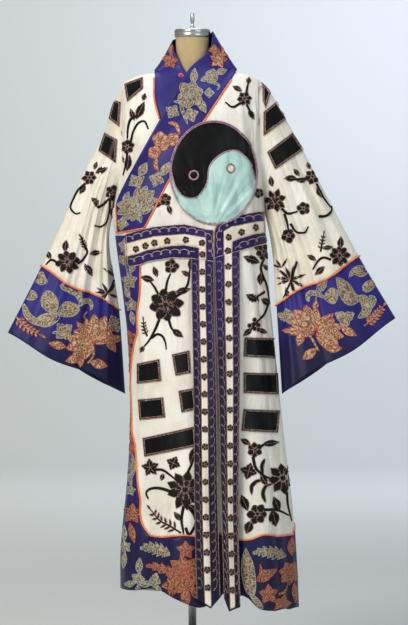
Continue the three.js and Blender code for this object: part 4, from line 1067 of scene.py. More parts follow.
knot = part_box("button")
knotMiddle = (np.array(knot[0]) + np.array(knot[1])) / 2 * 1000
knotPile = Pile()
turn = np.linspace(0, 2 * np.pi, 61)[:-1]
for tilt in (0, 60, 120):  # three turns of a silk cord wound over each other
    a = math.radians(tilt)
    ring = np.column_stack([np.cos(turn) * 5.4, np.sin(3 * turn + tilt) * 0.7 - 0.4, np.sin(turn) * 3.4])
    ring = np.column_stack([ring[:, 0] * math.cos(a) - ring[:, 2] * math.sin(a), ring[:, 1],
                            ring[:, 0] * math.sin(a) + ring[:, 2] * math.cos(a)])
    knotPile.put(*tube(ring + knotMiddle, 2.3, 8, 1.0, closed=True))
knotPile.make("knot_button", pinkSilk)

form = {
    "sections": [(1290, -152, 148, 104, 82), (1210, -142, 138, 104, 76), (1127, -124, 122, 88, 68),
                 (1040, -132, 132, 92, 80), (950, -142, 146, 100, 92), (850, -138, 148, 98, 92)],
    "neck": [(51, 1552), (49.4, 1568), (46.8, 1590), (45, 1612), (44.5, 1632), (45, 1674.4)],
    "neckY": 6.0, "cols": 64, "rows": 60,
}


def turned(profile, segments, centreY=0.0):
    turn = np.arange(segments) * 2 * np.pi / segments
    rings = [np.column_stack([r * np.cos(turn), centreY + r * np.sin(turn), np.full(segments, z)])
             for r, z in profile]
    points = np.concatenate(rings)
    last = (len(profile) - 1) * segments
    return points, ringFaces(len(profile), segments) + [tuple(last + i for i in range(segments))]


torsoPile = Pile()
t = np.linspace(850, 1628, form["rows"])[:, None]
angle = (np.arange(form["cols"]) * 360 / form["cols"])[None]
grid = bodyPoint(angle, t, False, False, form["sections"])
rise = np.clip((t - 1290) / 338, 0, 1)
grid[..., 2] -= 1.2 * rise
grid[..., 0] *= 1 - 0.07 * rise**4
torsoPile.put(grid.reshape(-1, 3), ringFaces(form["rows"], form["cols"]))
neckRows = curved([(z, r) for r, z in form["neck"]], 5.0)
torsoPile.put(*turned([(r, z) for z, r in neckRows], 64, form["neckY"]))


def linenMaterial():
    # plain-woven linen cover, papered and aged: dry, faintly slubby, warm
    material, tree, surface, here = startMaterial("aged_linen_cover", {"Base Color": toLinear("#DCC79C"),
                                                                 "Roughness": 0.85, "Specular IOR Level": 0.25})
    flat = addNode(tree, "Mapping", values={"Scale": (1, 1, 0.3)}, links={"Vector": here})
    threads = addNode(tree, "TexNoise", values={"Scale": 900.0, "Detail": 3.0},
                      links={"Vector": flat.outputs[0]})
    stain = addNode(tree, "TexNoise", values={"Scale": 14.0, "Detail": 5.0},
                    links={"Vector": here})
    tree.links.new(colourRamp(tree, stain.outputs["Fac"], stops("#A8926A #B8A47C #C8B690")),
                   surface.inputs["Base Color"])
    relief = addNode(tree, "Bump", values={"Strength": 0.3, "Distance": 0.0005},
                     links={"Height": threads.outputs["Fac"]})
    tree.links.new(relief.outputs["Normal"], surface.inputs["Normal"])
    return material


def metalMaterial(name, code, rough, streak, metallic=1.0):
    # turned or drawn metal: fine marks round the axis, a few dull patches where hands hold it
    material, tree, surface, here = startMaterial(name, {"Base Color": toLinear(code), "Roughness": rough,
                                                   "Metallic": metallic})
    marks = addNode(tree, "Mapping", values={"Scale": streak}, links={"Vector": here})
    lines = addNode(tree, "TexNoise", values={"Scale": 1.0, "Detail": 4.0}, links={"Vector": marks.outputs[0]})
    dull = addNode(tree, "MapRange", values={"To Min": rough - 0.08, "To Max": rough + 0.16},
                   links={"Value": lines.outputs["Fac"]})
    tree.links.new(dull.outputs["Result"], surface.inputs["Roughness"])
    relief = addNode(tree, "Bump", values={"Strength": 0.12, "Distance": 0.0003},
                     links={"Height": lines.outputs["Fac"]})
    tree.links.new(relief.outputs["Normal"], surface.inputs["Normal"])
    return material


linen = linenMaterial()
steel = metalMaterial("brushed_nickel_steel", "#C4C6C4", 0.24, (12.0, 12.0, 900.0))
poleSteel = metalMaterial("drawn_steel_tube", "#A9ACAC", 0.28, (500.0, 500.0, 9.0))
iron = metalMaterial("painted_cast_iron", "#2B2C2E", 0.5, (160.0, 160.0, 160.0), 0.3)
torsoPile.make("form_linen", linen)
metals = {
    "neck_cap": ([(47.0, 1675), (47.6, 1675.3), (48.5, 1678), (48.5, 1684.5), (48.1, 1685), (48.5, 1685.5),
                  (48.5, 1692.4), (48.0, 1694), (46.6, 1695.6), (44, 1696.8), (30, 1697.6), (8, 1698.2)],
                 72, 6.0, steel),
    "top_pin": ([(6.6, 1699), (7, 1699.4), (6.8, 1701), (5, 1704), (4, 1708), (4, 1712), (4.6, 1715),
                 (5.5, 1718), (5.5, 1736.4), (5, 1738.6), (3.5, 1741), (1.4, 1742)], 32, 6.0, steel),
    "stand_pole": ([(10.6, 36.6), (11, 37), (11, 420), (11, 849.4), (10.8, 849.7)], 40, 0.0, poleSteel),
    "stand_base": ([(192, 0.2), (194.4, 0.8), (195, 2), (195, 7), (194, 9), (189, 12.4), (184, 13.6),
                    (120, 17.8), (62, 21.8), (44, 23.6), (31, 26), (27, 28), (24, 31), (21, 34.6), (19.4, 36)],
                   96, 0.0, iron),
}
for name, (profile, segments, centreY, material) in metals.items():
    faces = newObject(name + "_turned", *turned(profile, segments, centreY), material).data.polygons
    faces.foreach_set("use_smooth", [len(f.vertices) == 4 for f in faces])
print("form and stand made")

# Motifs are small padded shapes with a couched outline, set out in photograph pixels and laid on the cloth.
motif = {
    "edge": 0.3, "crown": 1.6, "cord": 1.0, "stem": 1.8, "petalPoints": 14, "seed": 11,
}
chance = np.random.default_rng(motif["seed"])


def leafOutline(length, width, point=1.0, count=None, bow=0.0):
    count = count or motif["petalPoints"]
    s = (1 - np.cos(np.linspace(0, np.pi, count // 2 + 1))) / 2
    half = width / 2 * np.sin(np.pi * s ** (0.82 if point < 1 else 1.0)) ** (0.62 + 0.5 * (point > 1))
    if point > 1:
        half *= 1 - 0.25 * s
    u = (s - 0.5) * length
    v = bow * length * np.sin(np.pi * s)
    return np.vstack([np.column_stack([u, v - half]), np.column_stack([u, v + half])[::-1][1:-1]])


def turnedBy(points, degrees):
    a = math.radians(degrees)
    return points @ np.array([[math.cos(a), math.sin(a)], [-math.sin(a), math.cos(a)]])


def threadPath(points):
    path = np.array([fromPhoto(*p) for p in points])
    return curved(path, 5.0) if len(path) > 2 else densify(path, 5.0, False)


class Spray:
    def __init__(self, grow=1.0):
        self.flat, self.high, self.faces, self.cords, self.count, self.grow = [], [], [], [], 0, grow

    def shape(self, outline, crown=None, level=0.0):
        crown = motif["crown"] if crown is None else crown
        middle, n = outline.mean(0), len(outline)
        self.flat += [outline, middle + (outline - middle) * 0.58, middle[None]]
        self.high += [np.full(n, motif["edge"] + level), np.full(n, crown * 0.86 + level), [crown + level]]
        s = self.count
        for i in range(n):
            j = (i + 1) % n
            self.faces += [(s + i, s + j, s + n + j, s + n + i), (s + n + i, s + n + j, s + 2 * n)]
        self.count += 2 * n + 1
        self.cord(outline, 1.0, level + 0.7, True)

    def cord(self, path, share, height, closed=False):
        self.cords.append((path, motif["cord"] * share, height, closed))

    def petal(self, at, turn, length, width, point, forward, crown=None, level=0.0, bow=0.0, count=None):
        # one petal that grows outwards from a place
        outline = leafOutline(length, width, point, count, bow)
        outline[:, 0] += forward
        self.shape(turnedBy(outline, turn) + at, crown, level)

    def leaf(self, x, y, length, width, turn, point=1.4, bow=0.0, vein=True):
        at = fromPhoto(x, y)
        size = mm * 1.18 * self.grow * (1 + 0.06 * chance.uniform(-1, 1))
        width *= 1.12
        outline = turnedBy(leafOutline(length * size, width * size, point, bow=bow), turn) + at
        self.shape(outline)
        if vein:
            line = turnedBy(np.column_stack([np.linspace(-0.42, 0.36, 6) * length * size,
                                             bow * length * size * np.ones(6)]), turn) + at
            self.cord(line, 0.7, motif["crown"] + 0.2)

    def flower(self, x, y, radius, petals, turn=0.0, point=0.8, heart=0.22, wide=1.0):
        at = fromPhoto(x, y)
        r = radius * mm
        for i in range(petals):
            a = turn + 360 / petals * (i + 0.12 * chance.uniform(-1, 1))
            length = r * 0.82 * (1 + 0.10 * chance.uniform(-1, 1))
            width = wide * 2 * math.pi * r * 0.80 / petals
            self.petal(at, a, length, width, point, r * heart + length / 2 - r * 0.02, level=0.25 * (i % 2),
                       bow=0.03 * chance.uniform(-1, 1))
        self.shape(circle(10) * r * heart * 0.85 + at, 2.0, 0.3)
        for i in range(petals):  # stamens
            a = math.radians(turn + 360 / petals * (i + 0.5))
            way = np.array([math.cos(a), math.sin(a)])
            line = np.array([way * r * heart, way * r * (heart + 0.24)]) + at
            self.cord(densify(line, 3.0, False), 0.7, 1.9)

    def bud(self, x, y, radius, turn):
        at = fromPhoto(x, y)
        for a, part in ((-24, 1.0), (24, 1.0), (0, 1.35)):
            self.petal(at, turn + a, radius * mm * 1.7 * part, radius * mm * 0.85, 0.8, radius * 1.5 * part,
                       level=0.2 * (a == 0))

    def stem(self, points, width=1.0):
        path = threadPath(points)
        taper = 1 - 0.45 * np.linspace(0, 1, len(path)) ** 2
        self.cords.append((path, motif["stem"] * 2.0 * width * taper, 0.9, False, True))

    def fern(self, points, count, size=4.2, width=1.7):
        self.stem(points, 0.7)
        path = curved([fromPhoto(*p) for p in points], 1.0)
        for i in range(count):
            j = int((len(path) - 2) * (0.18 + 0.8 * i / count))
            way = path[j + 1] - path[j]
            angle = math.degrees(math.atan2(way[1], way[0]))
            for side in (-1, 1):
                length = size * mm * self.grow * (1 - 0.35 * i / count)
                self.petal(path[j], angle + side * 52, length, width * mm, 1.4, length * 0.55, 1.1)
        self.petal(path[-1], angle, size * mm, width * mm, 1.4, size * 1.3, 1.1)

    def bamboo(self, x, y, radius, angles):
        at = fromPhoto(x, y)
        for a in angles:
            length = radius * mm * (1 + 0.15 * chance.uniform(-1, 1))
            self.petal(at, a, length, radius * mm * 0.2 * self.grow, 1.6, length * 0.52, 1.3,
                       bow=0.05 * chance.uniform(-1, 1))

    def berries(self, x, y, radius, spots):
        for dx, dy in spots:
            at = fromPhoto(x + dx, y + dy)
            self.shape(circle(10) * radius * mm + at, 2.0)

    def drawn(self, points, veins=()):
        # an outline set out point by point, with cords for its veins
        outline = curved([fromPhoto(*q) for q in list(points) + [points[0]]], 4.5)[:-1]
        self.shape(outline, 1.9)
        for vein in veins:
            self.cord(threadPath(vein), 0.8, 2.2)

    def fan(self, x, y, length, turn, spread=96, petals=5):
        # a bloom seen from the side: broad petals from one foot, the middle ones on top
        at = fromPhoto(x, y)
        r = length * mm
        order = sorted(range(petals), key=lambda i: -abs(i - (petals - 1) / 2))
        for rank, i in enumerate(order):
            share = i / (petals - 1) - 0.5
            part = r * (1 - 0.9 * share * share)
            self.petal(at, turn - spread * share, part, r * 0.46, 0.8, part / 2, 1.5, 0.28 * rank, 0.10 * share, 18)
        for share in (-0.28, 0.0, 0.28):  # veins of thread up the middle petals
            line = turnedBy(np.column_stack([np.linspace(0.3, 0.86, 7) * r, np.zeros(7)]), turn - spread * share)
            self.cord(line + at, 0.8, 1.7 + 0.28 * petals)

    def frond(self, points, teeth, width):
        # a long leaf with toothed edges and a mid vein
        path = curved([fromPhoto(*p) for p in points], 1.8)
        s = np.linspace(0, 1, len(path))
        tooth = 0.38 + 0.62 * (s * teeth % 1.0)
        self.blade(path, width * mm / 2 * tooth * np.sin(np.pi * s ** 0.7) ** 0.6, 0.35, 0.8)
        self.cord(path[::3], 0.7, 1.9)

    def maple(self, x, y, radius, turn=0.0, lobes=5, deep=0.2):
        # a broad leaf with pointed lobes and a vein in each
        at = fromPhoto(x, y)
        a = np.linspace(0, 2 * np.pi, lobes * 12 + 1)[:-1]
        r = (1 - 2 * deep * abs(np.sin(lobes * a / 2)) ** 1.5 + 0.06 * np.cos(3 * lobes * a)) * radius * 2.9
        self.shape(turnedBy(np.column_stack([np.cos(a) * r, np.sin(a) * r]), turn) + at, 1.9)
        for i in range(lobes):
            b = 2 * np.pi * i / lobes
            line = np.array([[0, 0], [math.cos(b), math.sin(b)]]) * radius * mm * 0.8
            self.cord(turnedBy(densify(line, 5.0, False), turn) + at, 0.8, 2.0)

    def crescent(self, points, width):
        path = curved([fromPhoto(*p) for p in points], 5.0)
        s = np.linspace(0, 1, len(path))
        self.blade(path, width * mm / 2 * (0.12 + np.sin(np.pi * s ** 0.8) ** 0.7), 0.0, 1.0)

    def blade(self, path, half, lean, cord):  # half the width is given along the path, whose line stands up
        way, side = ways(path)
        half, n, start = half[:, None], len(path), self.count
        left, right = path + (side + lean * way) * half, path - (side - lean * way) * half
        self.flat += [left, path, right]
        self.high += [np.full(n, 0.3), np.full(n, 1.5), np.full(n, 0.3)]
        for i in range(start, start + n - 1):
            self.faces += [(n + i, n + i + 1, i + 1, i), (2 * n + i, 2 * n + i + 1, n + i + 1, n + i)]
        self.count += 3 * n
        self.cord(np.vstack([left, right[::-1]]), cord, 0.8, True)

    def make(self, name, lay, fillMaterial, cordMaterial, fillSlot, lift=0.0):
        made = []
        if self.count:
            flat = np.concatenate(self.flat)
            placed = lay(flat, np.concatenate(self.high) + lift, strict=True)
            good = np.isfinite(placed).all(1)
            faces = [f for f in self.faces if good[list(f)].all()]
            used = np.unique(np.concatenate([np.array(f) for f in faces]))
            number = np.zeros(len(placed), int)
            number[used] = np.arange(len(used))
            faces = [tuple(number[list(f)]) for f in faces]
            made.append((newObject(name, placed[used], faces, fillMaterial), fillSlot))
        pile, stems = Pile(), Pile()
        for cord in self.cords:
            path, radius, height, closed = cord[:4]
            placed = lay(np.asarray(path), np.full(len(path), height + lift), strict=True)
            good = np.isfinite(placed).all(1)
            if not good.all():
                if good.sum() < 3:
                    continue
                radius = np.broadcast_to(radius, (len(path),))[good] if np.ndim(radius) else radius
                placed, closed = placed[good], False
            sides = 4 if len(cord) < 5 else 6
            (stems if len(cord) > 4 else pile).put(*tube(placed, radius, sides, 0.8, closed=closed))
        if pile.count:
            made.append((pile.make(name + "_cords", cordMaterial), fillSlot))
        if stems.count:
            made.append((stems.make(name + "_stems", fillMaterial), fillSlot))
        return made


# Where the motifs lie, in photograph pixels: each mark's kind and numbers, and after a bar the rest of them.
# A path or an outline is given by its points. The name of a layer turns to that layer.
layouts = {
"sprays_front": """
flower 244 100 7.5 6 10 1.2; bud 248 84 3.4 80; stem 246 94 247 88 248 84; leaf 237 90 7 3.6 150;
stem 240 105 232 109 225 104; leaf 251 116 8 4 -60; stem 246 106 249 112 252 119; flower 166 201 6 5 20;
leaf 158 206 8 4 200; leaf 170 211 7 3.5 -70; flower 258 194 5 5 50; stem 260 176 265 169 272 167;
leaf 263 167 6 3 120; flower 166 305 17 8 12 0.9; flower 166 304 7.6 6 30 0.8 0.3; flower 172 267 7 5 80;
bud 171 258 3 95; stem 166 292 168 281 171 274; leaf 148 279 10 5 165; leaf 156 272 8 4 110;
stem 159 294 154 286 150 281; leaf 183 291 12 5 14; stem 176 297 183 292 188 284 190 270; leaf 191 264 9 4 82;
leaf 186 274 7 3.4 150; leaf 178 333 10 5 -35; stem 169 319 172 328 178 334;
stem 160 319 156 329 150 340 145 346 | 1.1; fern 148 336 145 329 144 320 | 4 3.6 1.5;
stem 152 338 158 334 163 336 166 342 167 349; bud 144 347 3.2 -120; flower 185.5 487 19 9 0 1.3;
flower 185.5 487 9.5 7 20 1.0 0.25; maple 151 466 8 170 5 0.19; leaf 163 475 5 3.4 250;
stem 154 468 163 468 171 473 177 478; maple 174 461 6.4 65 4 0.17; leaf 194 452 14 6.4 68;
stem 188 470 192 461 194 455; stem 172 489 160 486 151 487 147 491 149 497 | 1.2; stem 184 503 182 516 184 530 | 1.2;
stem 188 503 194 512 197 524; fern 181.4 529.3 171.2 523 161 518 151.5 507.6 | 6 6.4 2.4;
stem 186 524 189 531 194 524 197 514 | 1.1; leaf 178 513 8 4 130; leaf 194 506 9 5 -40; flower 263 252 8 6 15;
leaf 251 260 12 6 160; leaf 256 247 8 4 120; leaf 260 279 9 5 -95; leaf 267 268 8 4 -30; leaf 266 302 9 5 -30;
leaf 252 298 11 6 155; stem 263 259 260 269 266 286 269 304 | 1.2; stem 264 292 258 296 253 300;
stem 268 303 263 315 256 322 250 330; berries 253 324 2.2 | 0 0 4.5 1 -4 1.5 1 4.5 1 -4.2 5 5.5;
leaf 247 332 8 4 -140; leaf 262 331 7 3.6 -20; flower 254 448 7.5 6 30; leaf 245 440 8 4 150; leaf 270 442 12 4.5 6;
stem 259 446 266 441 272 442; maple 248 469 7.4 165 4 0.17; crescent 264 457 261 464 262 474 | 3.4;
crescent 251 492 251 484 256 479 264 478 | 3.4; crescent 264.5 500 262 491 265 484 272 482 | 3.4;
leaf 263 478 10 5 -60; stem 252 455 255 466 262 473 272 478 | 1.2; flower 282 477 15.5 8 8 1.3;
flower 256.5 511 9.8 6 0; leaf 244 500 12 6 112; leaf 248 524 10 7 -110; leaf 273 516 12 8 -76;
leaf 275.5 502 11 6 112; stem 263 507 276 508 288 514 | 1.1; stem 286 491 287 504 291 520 | 1.1""",
"sprays_inner": """
bud 144 101 3.4 75; leaf 141 112 13 5.6 66; leaf 133 116 9 4 110; stem 139 118 132 120 129 128 128 140 | 1.2;
stem 131 146 134 134 139 125 145 123 149 131 | 1.1; flower 128 148 7 6 20; leaf 129 164 11 5 80;
stem 128 154 127 164 124 176; leaf 122 160 8 4 140""",
"sprays_sleeve_right": """
flower 90 178 7.5 6 0 1.1; leaf 102 171 9 4.6 22; leaf 96 166 6 3 70; leaf 83 190 8 4 -125;
stem 86 184 79 190 74 199 71 208 76 214 81 213 | 1.1; bud 97 206 4 95; leaf 95 201 6 3.4 140;
stem 98 208 106 203 113 195 | 1.2; flower 114 193 8 6 25 0.9; stem 110 200 109 212 107 221 102 227 95 226 | 1.1;
leaf 113 214 8 4 -70; flower 68 262 11.5 8 10 0.9; leaf 66 246 9 5 82; stem 58 263 52 260 46 265; leaf 49 255 7 4 120;
stem 78 264 84 259 88 252 84 244 81 236; fern 86 250 84 244 81 237 | 4 3.2 1.5; leaf 96 253 9 4 8;
leaf 89 270 10 4.6 -58; bamboo 114 277 13 | 100 62 140 20 -60; bamboo 108 294 13 | 150 172 118 -150 60 -20;
stem 119 262 113 282 104 300""",
"sprays_sleeve_left": """
flower 312 177 8 6 15 1.1; bud 309 168 3 110; leaf 290 179 9 4.6 182; leaf 301 181 7 3.6 190; leaf 296 173 6 3.2 130;
stem 305 179 297 180 287 180; leaf 319 193 8 4 -62; stem 316 184 322 196 329 206 332 209;
stem 318 217 326 216 331 211 331 204 | 1.1; flower 275 201 12 7 20 1.35 0.2 0.8; flower 275 203 6.5 6 0 1.0;
stem 281 209 288 214 297 212 | 1.1; flower 303 209 6.5 5 30; flower 288 236 7 5 60; stem 284 214 287 224 288 231;
stem 290 224 296 232 304 233 308 227; leaf 271 182 8 4 100; bamboo 290 280 15 | 78 112 140 20 -30 -75 200 172;
bamboo 281 268 10 | 120 160 60; leaf 287 295 12 3.6 -78; stem 296 262 291 280 283 298;
fern 320 252 321 244 323 234 | 4 3.4 1.5; leaf 327 248 8 3.4 10; flower 339 256 10.5 8 0 0.9; leaf 340 243 9 4.6 85;
stem 330 260 322 258 316 263 312 270; leaf 319 271 9 4.4 -140; leaf 311 258 7 3.4 150""",
"cuff_right": """
drawn 34 281 38 274 43 272 46 278 48 282 42 285 | 36 281 45 280;
drawn 26 297 29 291 34 291 38 297 34 300 28 300 | 28 297 35 296;
drawn 42 306 42 298 47 291 52 292 58 299 59 307 55 313 48 311 | 45 306 50 295 | 50 309 55 299;
drawn 35 322 40 316 49 313 58 312 60 318 53 325 44 327 | 38 321 47 319 57 315;
drawn 60 308 66 302 74 303 80 309 76 315 68 317 60 315 | 62 311 70 309 77 311 | 66 314 70 309;
crescent 61 286 70 288 78 293 81 302 | 8.5; crescent 79 307 83 302 89 301 92 306 91 310 | 4.4;
crescent 24 304 28 315 37 322 51 325 | 6; maple 64.5 331.5 9 40 4 0.17; crescent 53 333 58 332 64 331 | 2.4;
maple 114.5 324 8 20 4 0.17; red; fern 15 315 26 327 41 335 | 6 6.4 2.6; leaf 83 329 17 7 128; leaf 58 345 15 7 166;
leaf 111 345 14 6.5 -58; leaf 115 339 15 6.5 8; leaf 74 359 13 7 196; leaf 81 361 11 5.5 -95; leaf 99 364 15 8 -14;
fan 93 341 28 62; fan 92 341 26 197; stem 91 340 94 350 93 357 88 363 | 1.1; stem 88 322 84 316 87 312 | 1.1""",
"cuff_left": """
drawn 348 278 351 270 358 266 366 268 367 273 361 277 354 275 | 351 275 358 270 365 271;
drawn 363 292 362 286 368 281 375 280 374 287 368 292 | 365 289 372 283;
drawn 335 278 341 279 349 285 354 293 359 299 352 305 345 304 339 296 | 338 282 345 291 353 301 | 342 297 349 296;
crescent 356 297 364 301 366 308 364 313 357 318 | 9; crescent 368.6 296 373 299 371.4 305 367.6 310 | 4.4;
drawn 326 292 331 288 336.5 291 337 297 333 304 327 302 323 297 | 326 299 331 295 335 294; leaf 321 286.5 16 7.5 52;
crescent 308 302 307 296.5 311 293 318 294.5 324 298.5 | 4.6; maple 343.7 318.5 9.5 30 3 0.22;
maple 288 316.5 7.5 20 4 0.17; crescent 276 317 280 315 285 316 | 4; red; fern 363 326 373 318 383 306 | 6 6.4 2.6;
leaf 370.6 284 10 6 40; leaf 323.6 321 21 8 40; leaf 315 305.5 9 5 82; stem 315 312 315 304 316 297 | 1.1;
leaf 347.5 331.5 16 7 -28; leaf 333 348.5 14 6.5 4; leaf 292.5 331 18 7 176; leaf 299.5 339 12 7 -108;
leaf 309 353.5 15 8 38; fan 314 331 29 134; fan 317 331 26 -12; stem 307 333 312 340.5 318 351 | 1.1""",
"border": """
maple 126 246 6.6 20 5 0.19; maple 124 260 5 60 5 0.19; maple 130 281 7.4 90 5 0.19; maple 132 305 6 20 5 0.19;
maple 131 385 6.4 40 5 0.19; maple 131 489 5 10 5 0.19; maple 126 545 5.6 30 5 0.19;
stem 125 250 128 272 131 298 | 0.8; leaf 133 268 10 5 70; leaf 128 293 10 5 110; leaf 133 318 13 5 -80;
leaf 129 397 14 5 -70; leaf 133 408 14 5 70; leaf 133 466 20 6 86; leaf 125 532 14 5 90; leaf 125 558 16 5 84;
leaf 130 478 12 4.6 110; red; maple 131 338 7 30 5; maple 131 434 7 0 5; maple 133 512 9 15 5; leaf 131 355 18 6 -84;
leaf 130 369 12 5 -100; leaf 131 421 14 5 84; leaf 132 448 14 5 -84; leaf 133 531 16 5.4 -76; gold;
frond 171 551 161 547 150 544.5 141 546 | 6 15; red; maple 186 546 8 90 5 0.2; flower 186.5 569 18.5 8 10 1.2 0.2;
flower 187 569 10 7 30 0.8 0.3; frond 176 568 166 566 156 563 147 563 | 4 12; maple 174 581 10.5 40 5 0.2;
leaf 186 592.5 20 8.4 -86; leaf 196 588 13 8 -62; gold; leaf 140 563 14 6.4 86; maple 138.7 576 6.4 0 5 0.19;
leaf 130.4 581.5 10 5.4 190; leaf 145 581 10 5.4 -15; leaf 139 588 10 6 -85;
crescent 145 579 153 580 160 585 164 590 | 3.6; maple 156 575.5 5.6 80 3 0.19;
drawn 245 544 249 552 252 559 254 569 255 581 253 591 247 589 243 580 241 568 241.5 555 | 245 549 247 565 249 586;
crescent 249 589 256 597 260 604 257 609.5 253 607 | 4.4; frond 285 554 273 550 261 548 252 549.5 | 6 14; red;
drawn 259 560 262 566 275 566 270 573 263 577.5 256 576 258.5 569 | 258 574 271 568; maple 267.5 590 8.6 20 5 0.19;
maple 281 601 8.6 0 5 0.19; flower 289 571 12 7 15 1.2; leaf 291 545 16 8 90; leaf 294 591 18 5.4 -86;
leaf 245 601 14 7 -70; stem 277 591 283 589 287 581 | 1.1; stem 283 589 282 595 | 1.1""",
"collar": """
red; maple 218 61 8 10; maple 226 52 6.5 40 4; maple 214 51 5 0 4; gold; flower 212 77 6.6 5 15 0.8;
leaf 221 73 10 6 20; leaf 205 81 8 5 200; crescent 207 84 214 85 219 88 217 92 | 2.4; maple 209 95 4.6 0 4 0.15;
flower 190.5 97 12.6 6 18 0.7 0.28; leaf 194 78 14 6.6 84; leaf 202 108 15 7 -62; maple 173 114 6.4 150 4 0.17;
maple 191 117 6.8 -70 4 0.17; crescent 174 104 180 105 183 114 188 127 | 3; red;
crescent 168.5 125 176 127 180.4 137 | 3.4; flower 161 141.5 8 5 20 0.8; flower 174 141.5 6.6 5 50 0.8;
flower 155 154.5 6.6 5 0 0.8; leaf 165 149 10 6 30; crescent 157.4 160 156.5 168 159.3 173 | 3.6; gold;
leaf 144 171 13 8 60; leaf 166 171 13 7 60; maple 136.4 182.6 6.6 120 4 0.17; maple 157.4 181 7 -20 4 0.17;
stem 145 178 141 190 139 203 | 0.9; leaf 127.4 198 10 5 62; fan 138 206 22 38; fan 139 206 22 202;
leaf 146 212.4 10 5 8; leaf 140 218 11 5.4 -68; maple 123 224 6 80 4 0.17; under; maple 170.5 62 7 10 5;
leaf 172 50 9 6 80; leaf 165 58 8 5 150""",
}


def setOut(name, layers=("plain",), grow=1.0):
    sprays = {layer: Spray(grow) for layer in layers}
    spray = sprays[layers[0]]
    for mark in layouts[name].split(";"):
        kind, _, numbers = mark.strip().partition(" ")
        if kind in sprays:
            spray = sprays[kind]
            continue
        parts = [[float(n) if "." in n else int(n) for n in part.split()] for part in numbers.split("|")]
        points = [list(zip(part[::2], part[1::2])) for part in parts]
        if kind in ("stem", "fern", "crescent", "frond"):
            given = [points[0]] + sum(parts[1:], [])
        elif kind == "drawn":
            given = [points[0], points[1:]]
        else:
            given = parts[0] + (points[1:] if kind == "berries" else parts[1:])
        getattr(spray, kind)(*given)
    return sprays.values()


scroll = {"length": 25.0, "high": 5.6, "swing": 7.0, "radius": 1.0}


def sashWork(sideRows, florets):  # running scrolls along the blue stripes, and their florets
    lines = []
    for row in sideRows:
        path = curved(row, 1.5)
        way, side = ways(path)
        s = np.concatenate([[0], np.cumsum(np.linalg.norm(np.diff(path, axis=0), axis=1))])
        turn = 2 * np.pi * s / scroll["length"]
        line = path + side * (scroll["high"] * np.cos(turn))[:, None] + way * (scroll["swing"] * np.sin(turn))[:, None]
        lines.append(line)
    s = Spray()
    for x, z, r in florets:
        s.flower(*toPhoto(x, z), r / mm, 5, chance.uniform(0, 70), 0.7, 0.26, 1.05)
    return lines, s


workPieces = []
for name, carrier in (("sprays_front", "front"), ("sprays_inner", "inner"), ("sprays_sleeve_right", "sleeve_right"),
                      ("sprays_sleeve_left", "sleeve_left")):
    spray, = setOut(name, grow=1.2)
    workPieces += spray.make(name, carriers[carrier].lay, blackVelvet, couchedBrown, "black_velvet")
print("velvet sprays laid")
carriers["border"] = Carrier(borderFront)
for name, redThread, goldLift, redLift in (("cuff_right", roseGold, 0, 0.2), ("cuff_left", roseGold, 0, 0.2),
                                           ("border", redBrown, 0, 0.2), ("collar", roseGold, 0.8, 0.8)):
    lay = carriers[name].lay
    gold, red, under = setOut(name, ("gold", "red", "under"))
    workPieces += gold.make(name + "_gold_work", lay, dullGold, paleOutline, "blue_satin", goldLift)
    workPieces += red.make(name + "_red_work", lay, redThread, redOutline, "blue_satin", redLift)
    if name == "collar":
        workPieces += under.make("collar_under_work", carriers["collar_under"].lay, redBrown, redOutline, "blue_satin")
print("gold and red work laid")

sashLines = {
    "right": [[(-172, 1129), (-102, 1148), (-20, 1153), (30, 1143), (47, 1130), (48, 1082)],
              [(-168, 1069), (-128, 1080), (-80, 1092), (-20, 1094), (4, 1088)]],
    "left": [[(72, 1088), (73, 1150), (104, 1173), (150, 1184), (188, 1190)],
             [(118, 1098), (130, 1112), (165, 1124), (196, 1133)]],
}
florets = {"right": [(-150, 1101), (-125, 1109), (-101, 1117), (-66, 1122), (-17, 1125), (26, 1117), (27, 1086)],
           "left": [(95, 1096), (97, 1132), (132, 1146), (170, 1159)]}
sashCords = Pile()
for side in ("right", "left"):
    top = Carrier(sashObjects[side], sashObjects["cream_" + side])
    lines, spray = sashWork(sashLines[side], [(x, z, 8.6) for x, z in florets[side]])
    for line in lines:
        sashCords.put(*tube(level(top.lay, line, 0.6), scroll["radius"], 4, 0.7))
    for outline, radius in ((sash[side], 1.2), (sash["cream" + side.capitalize()], 1.1)):
        sashCords.put(*tube(level(top.lay, densify(outline, 6.0), 0.5), radius, 5, 0.8, closed=True))
    workPieces += spray.make("sash_florets_" + side, top.lay, blackVelvet, couchedBrown, "black_velvet")
workPieces.append((sashCords.make("sash_cords", sashThread), "cream_satin"))

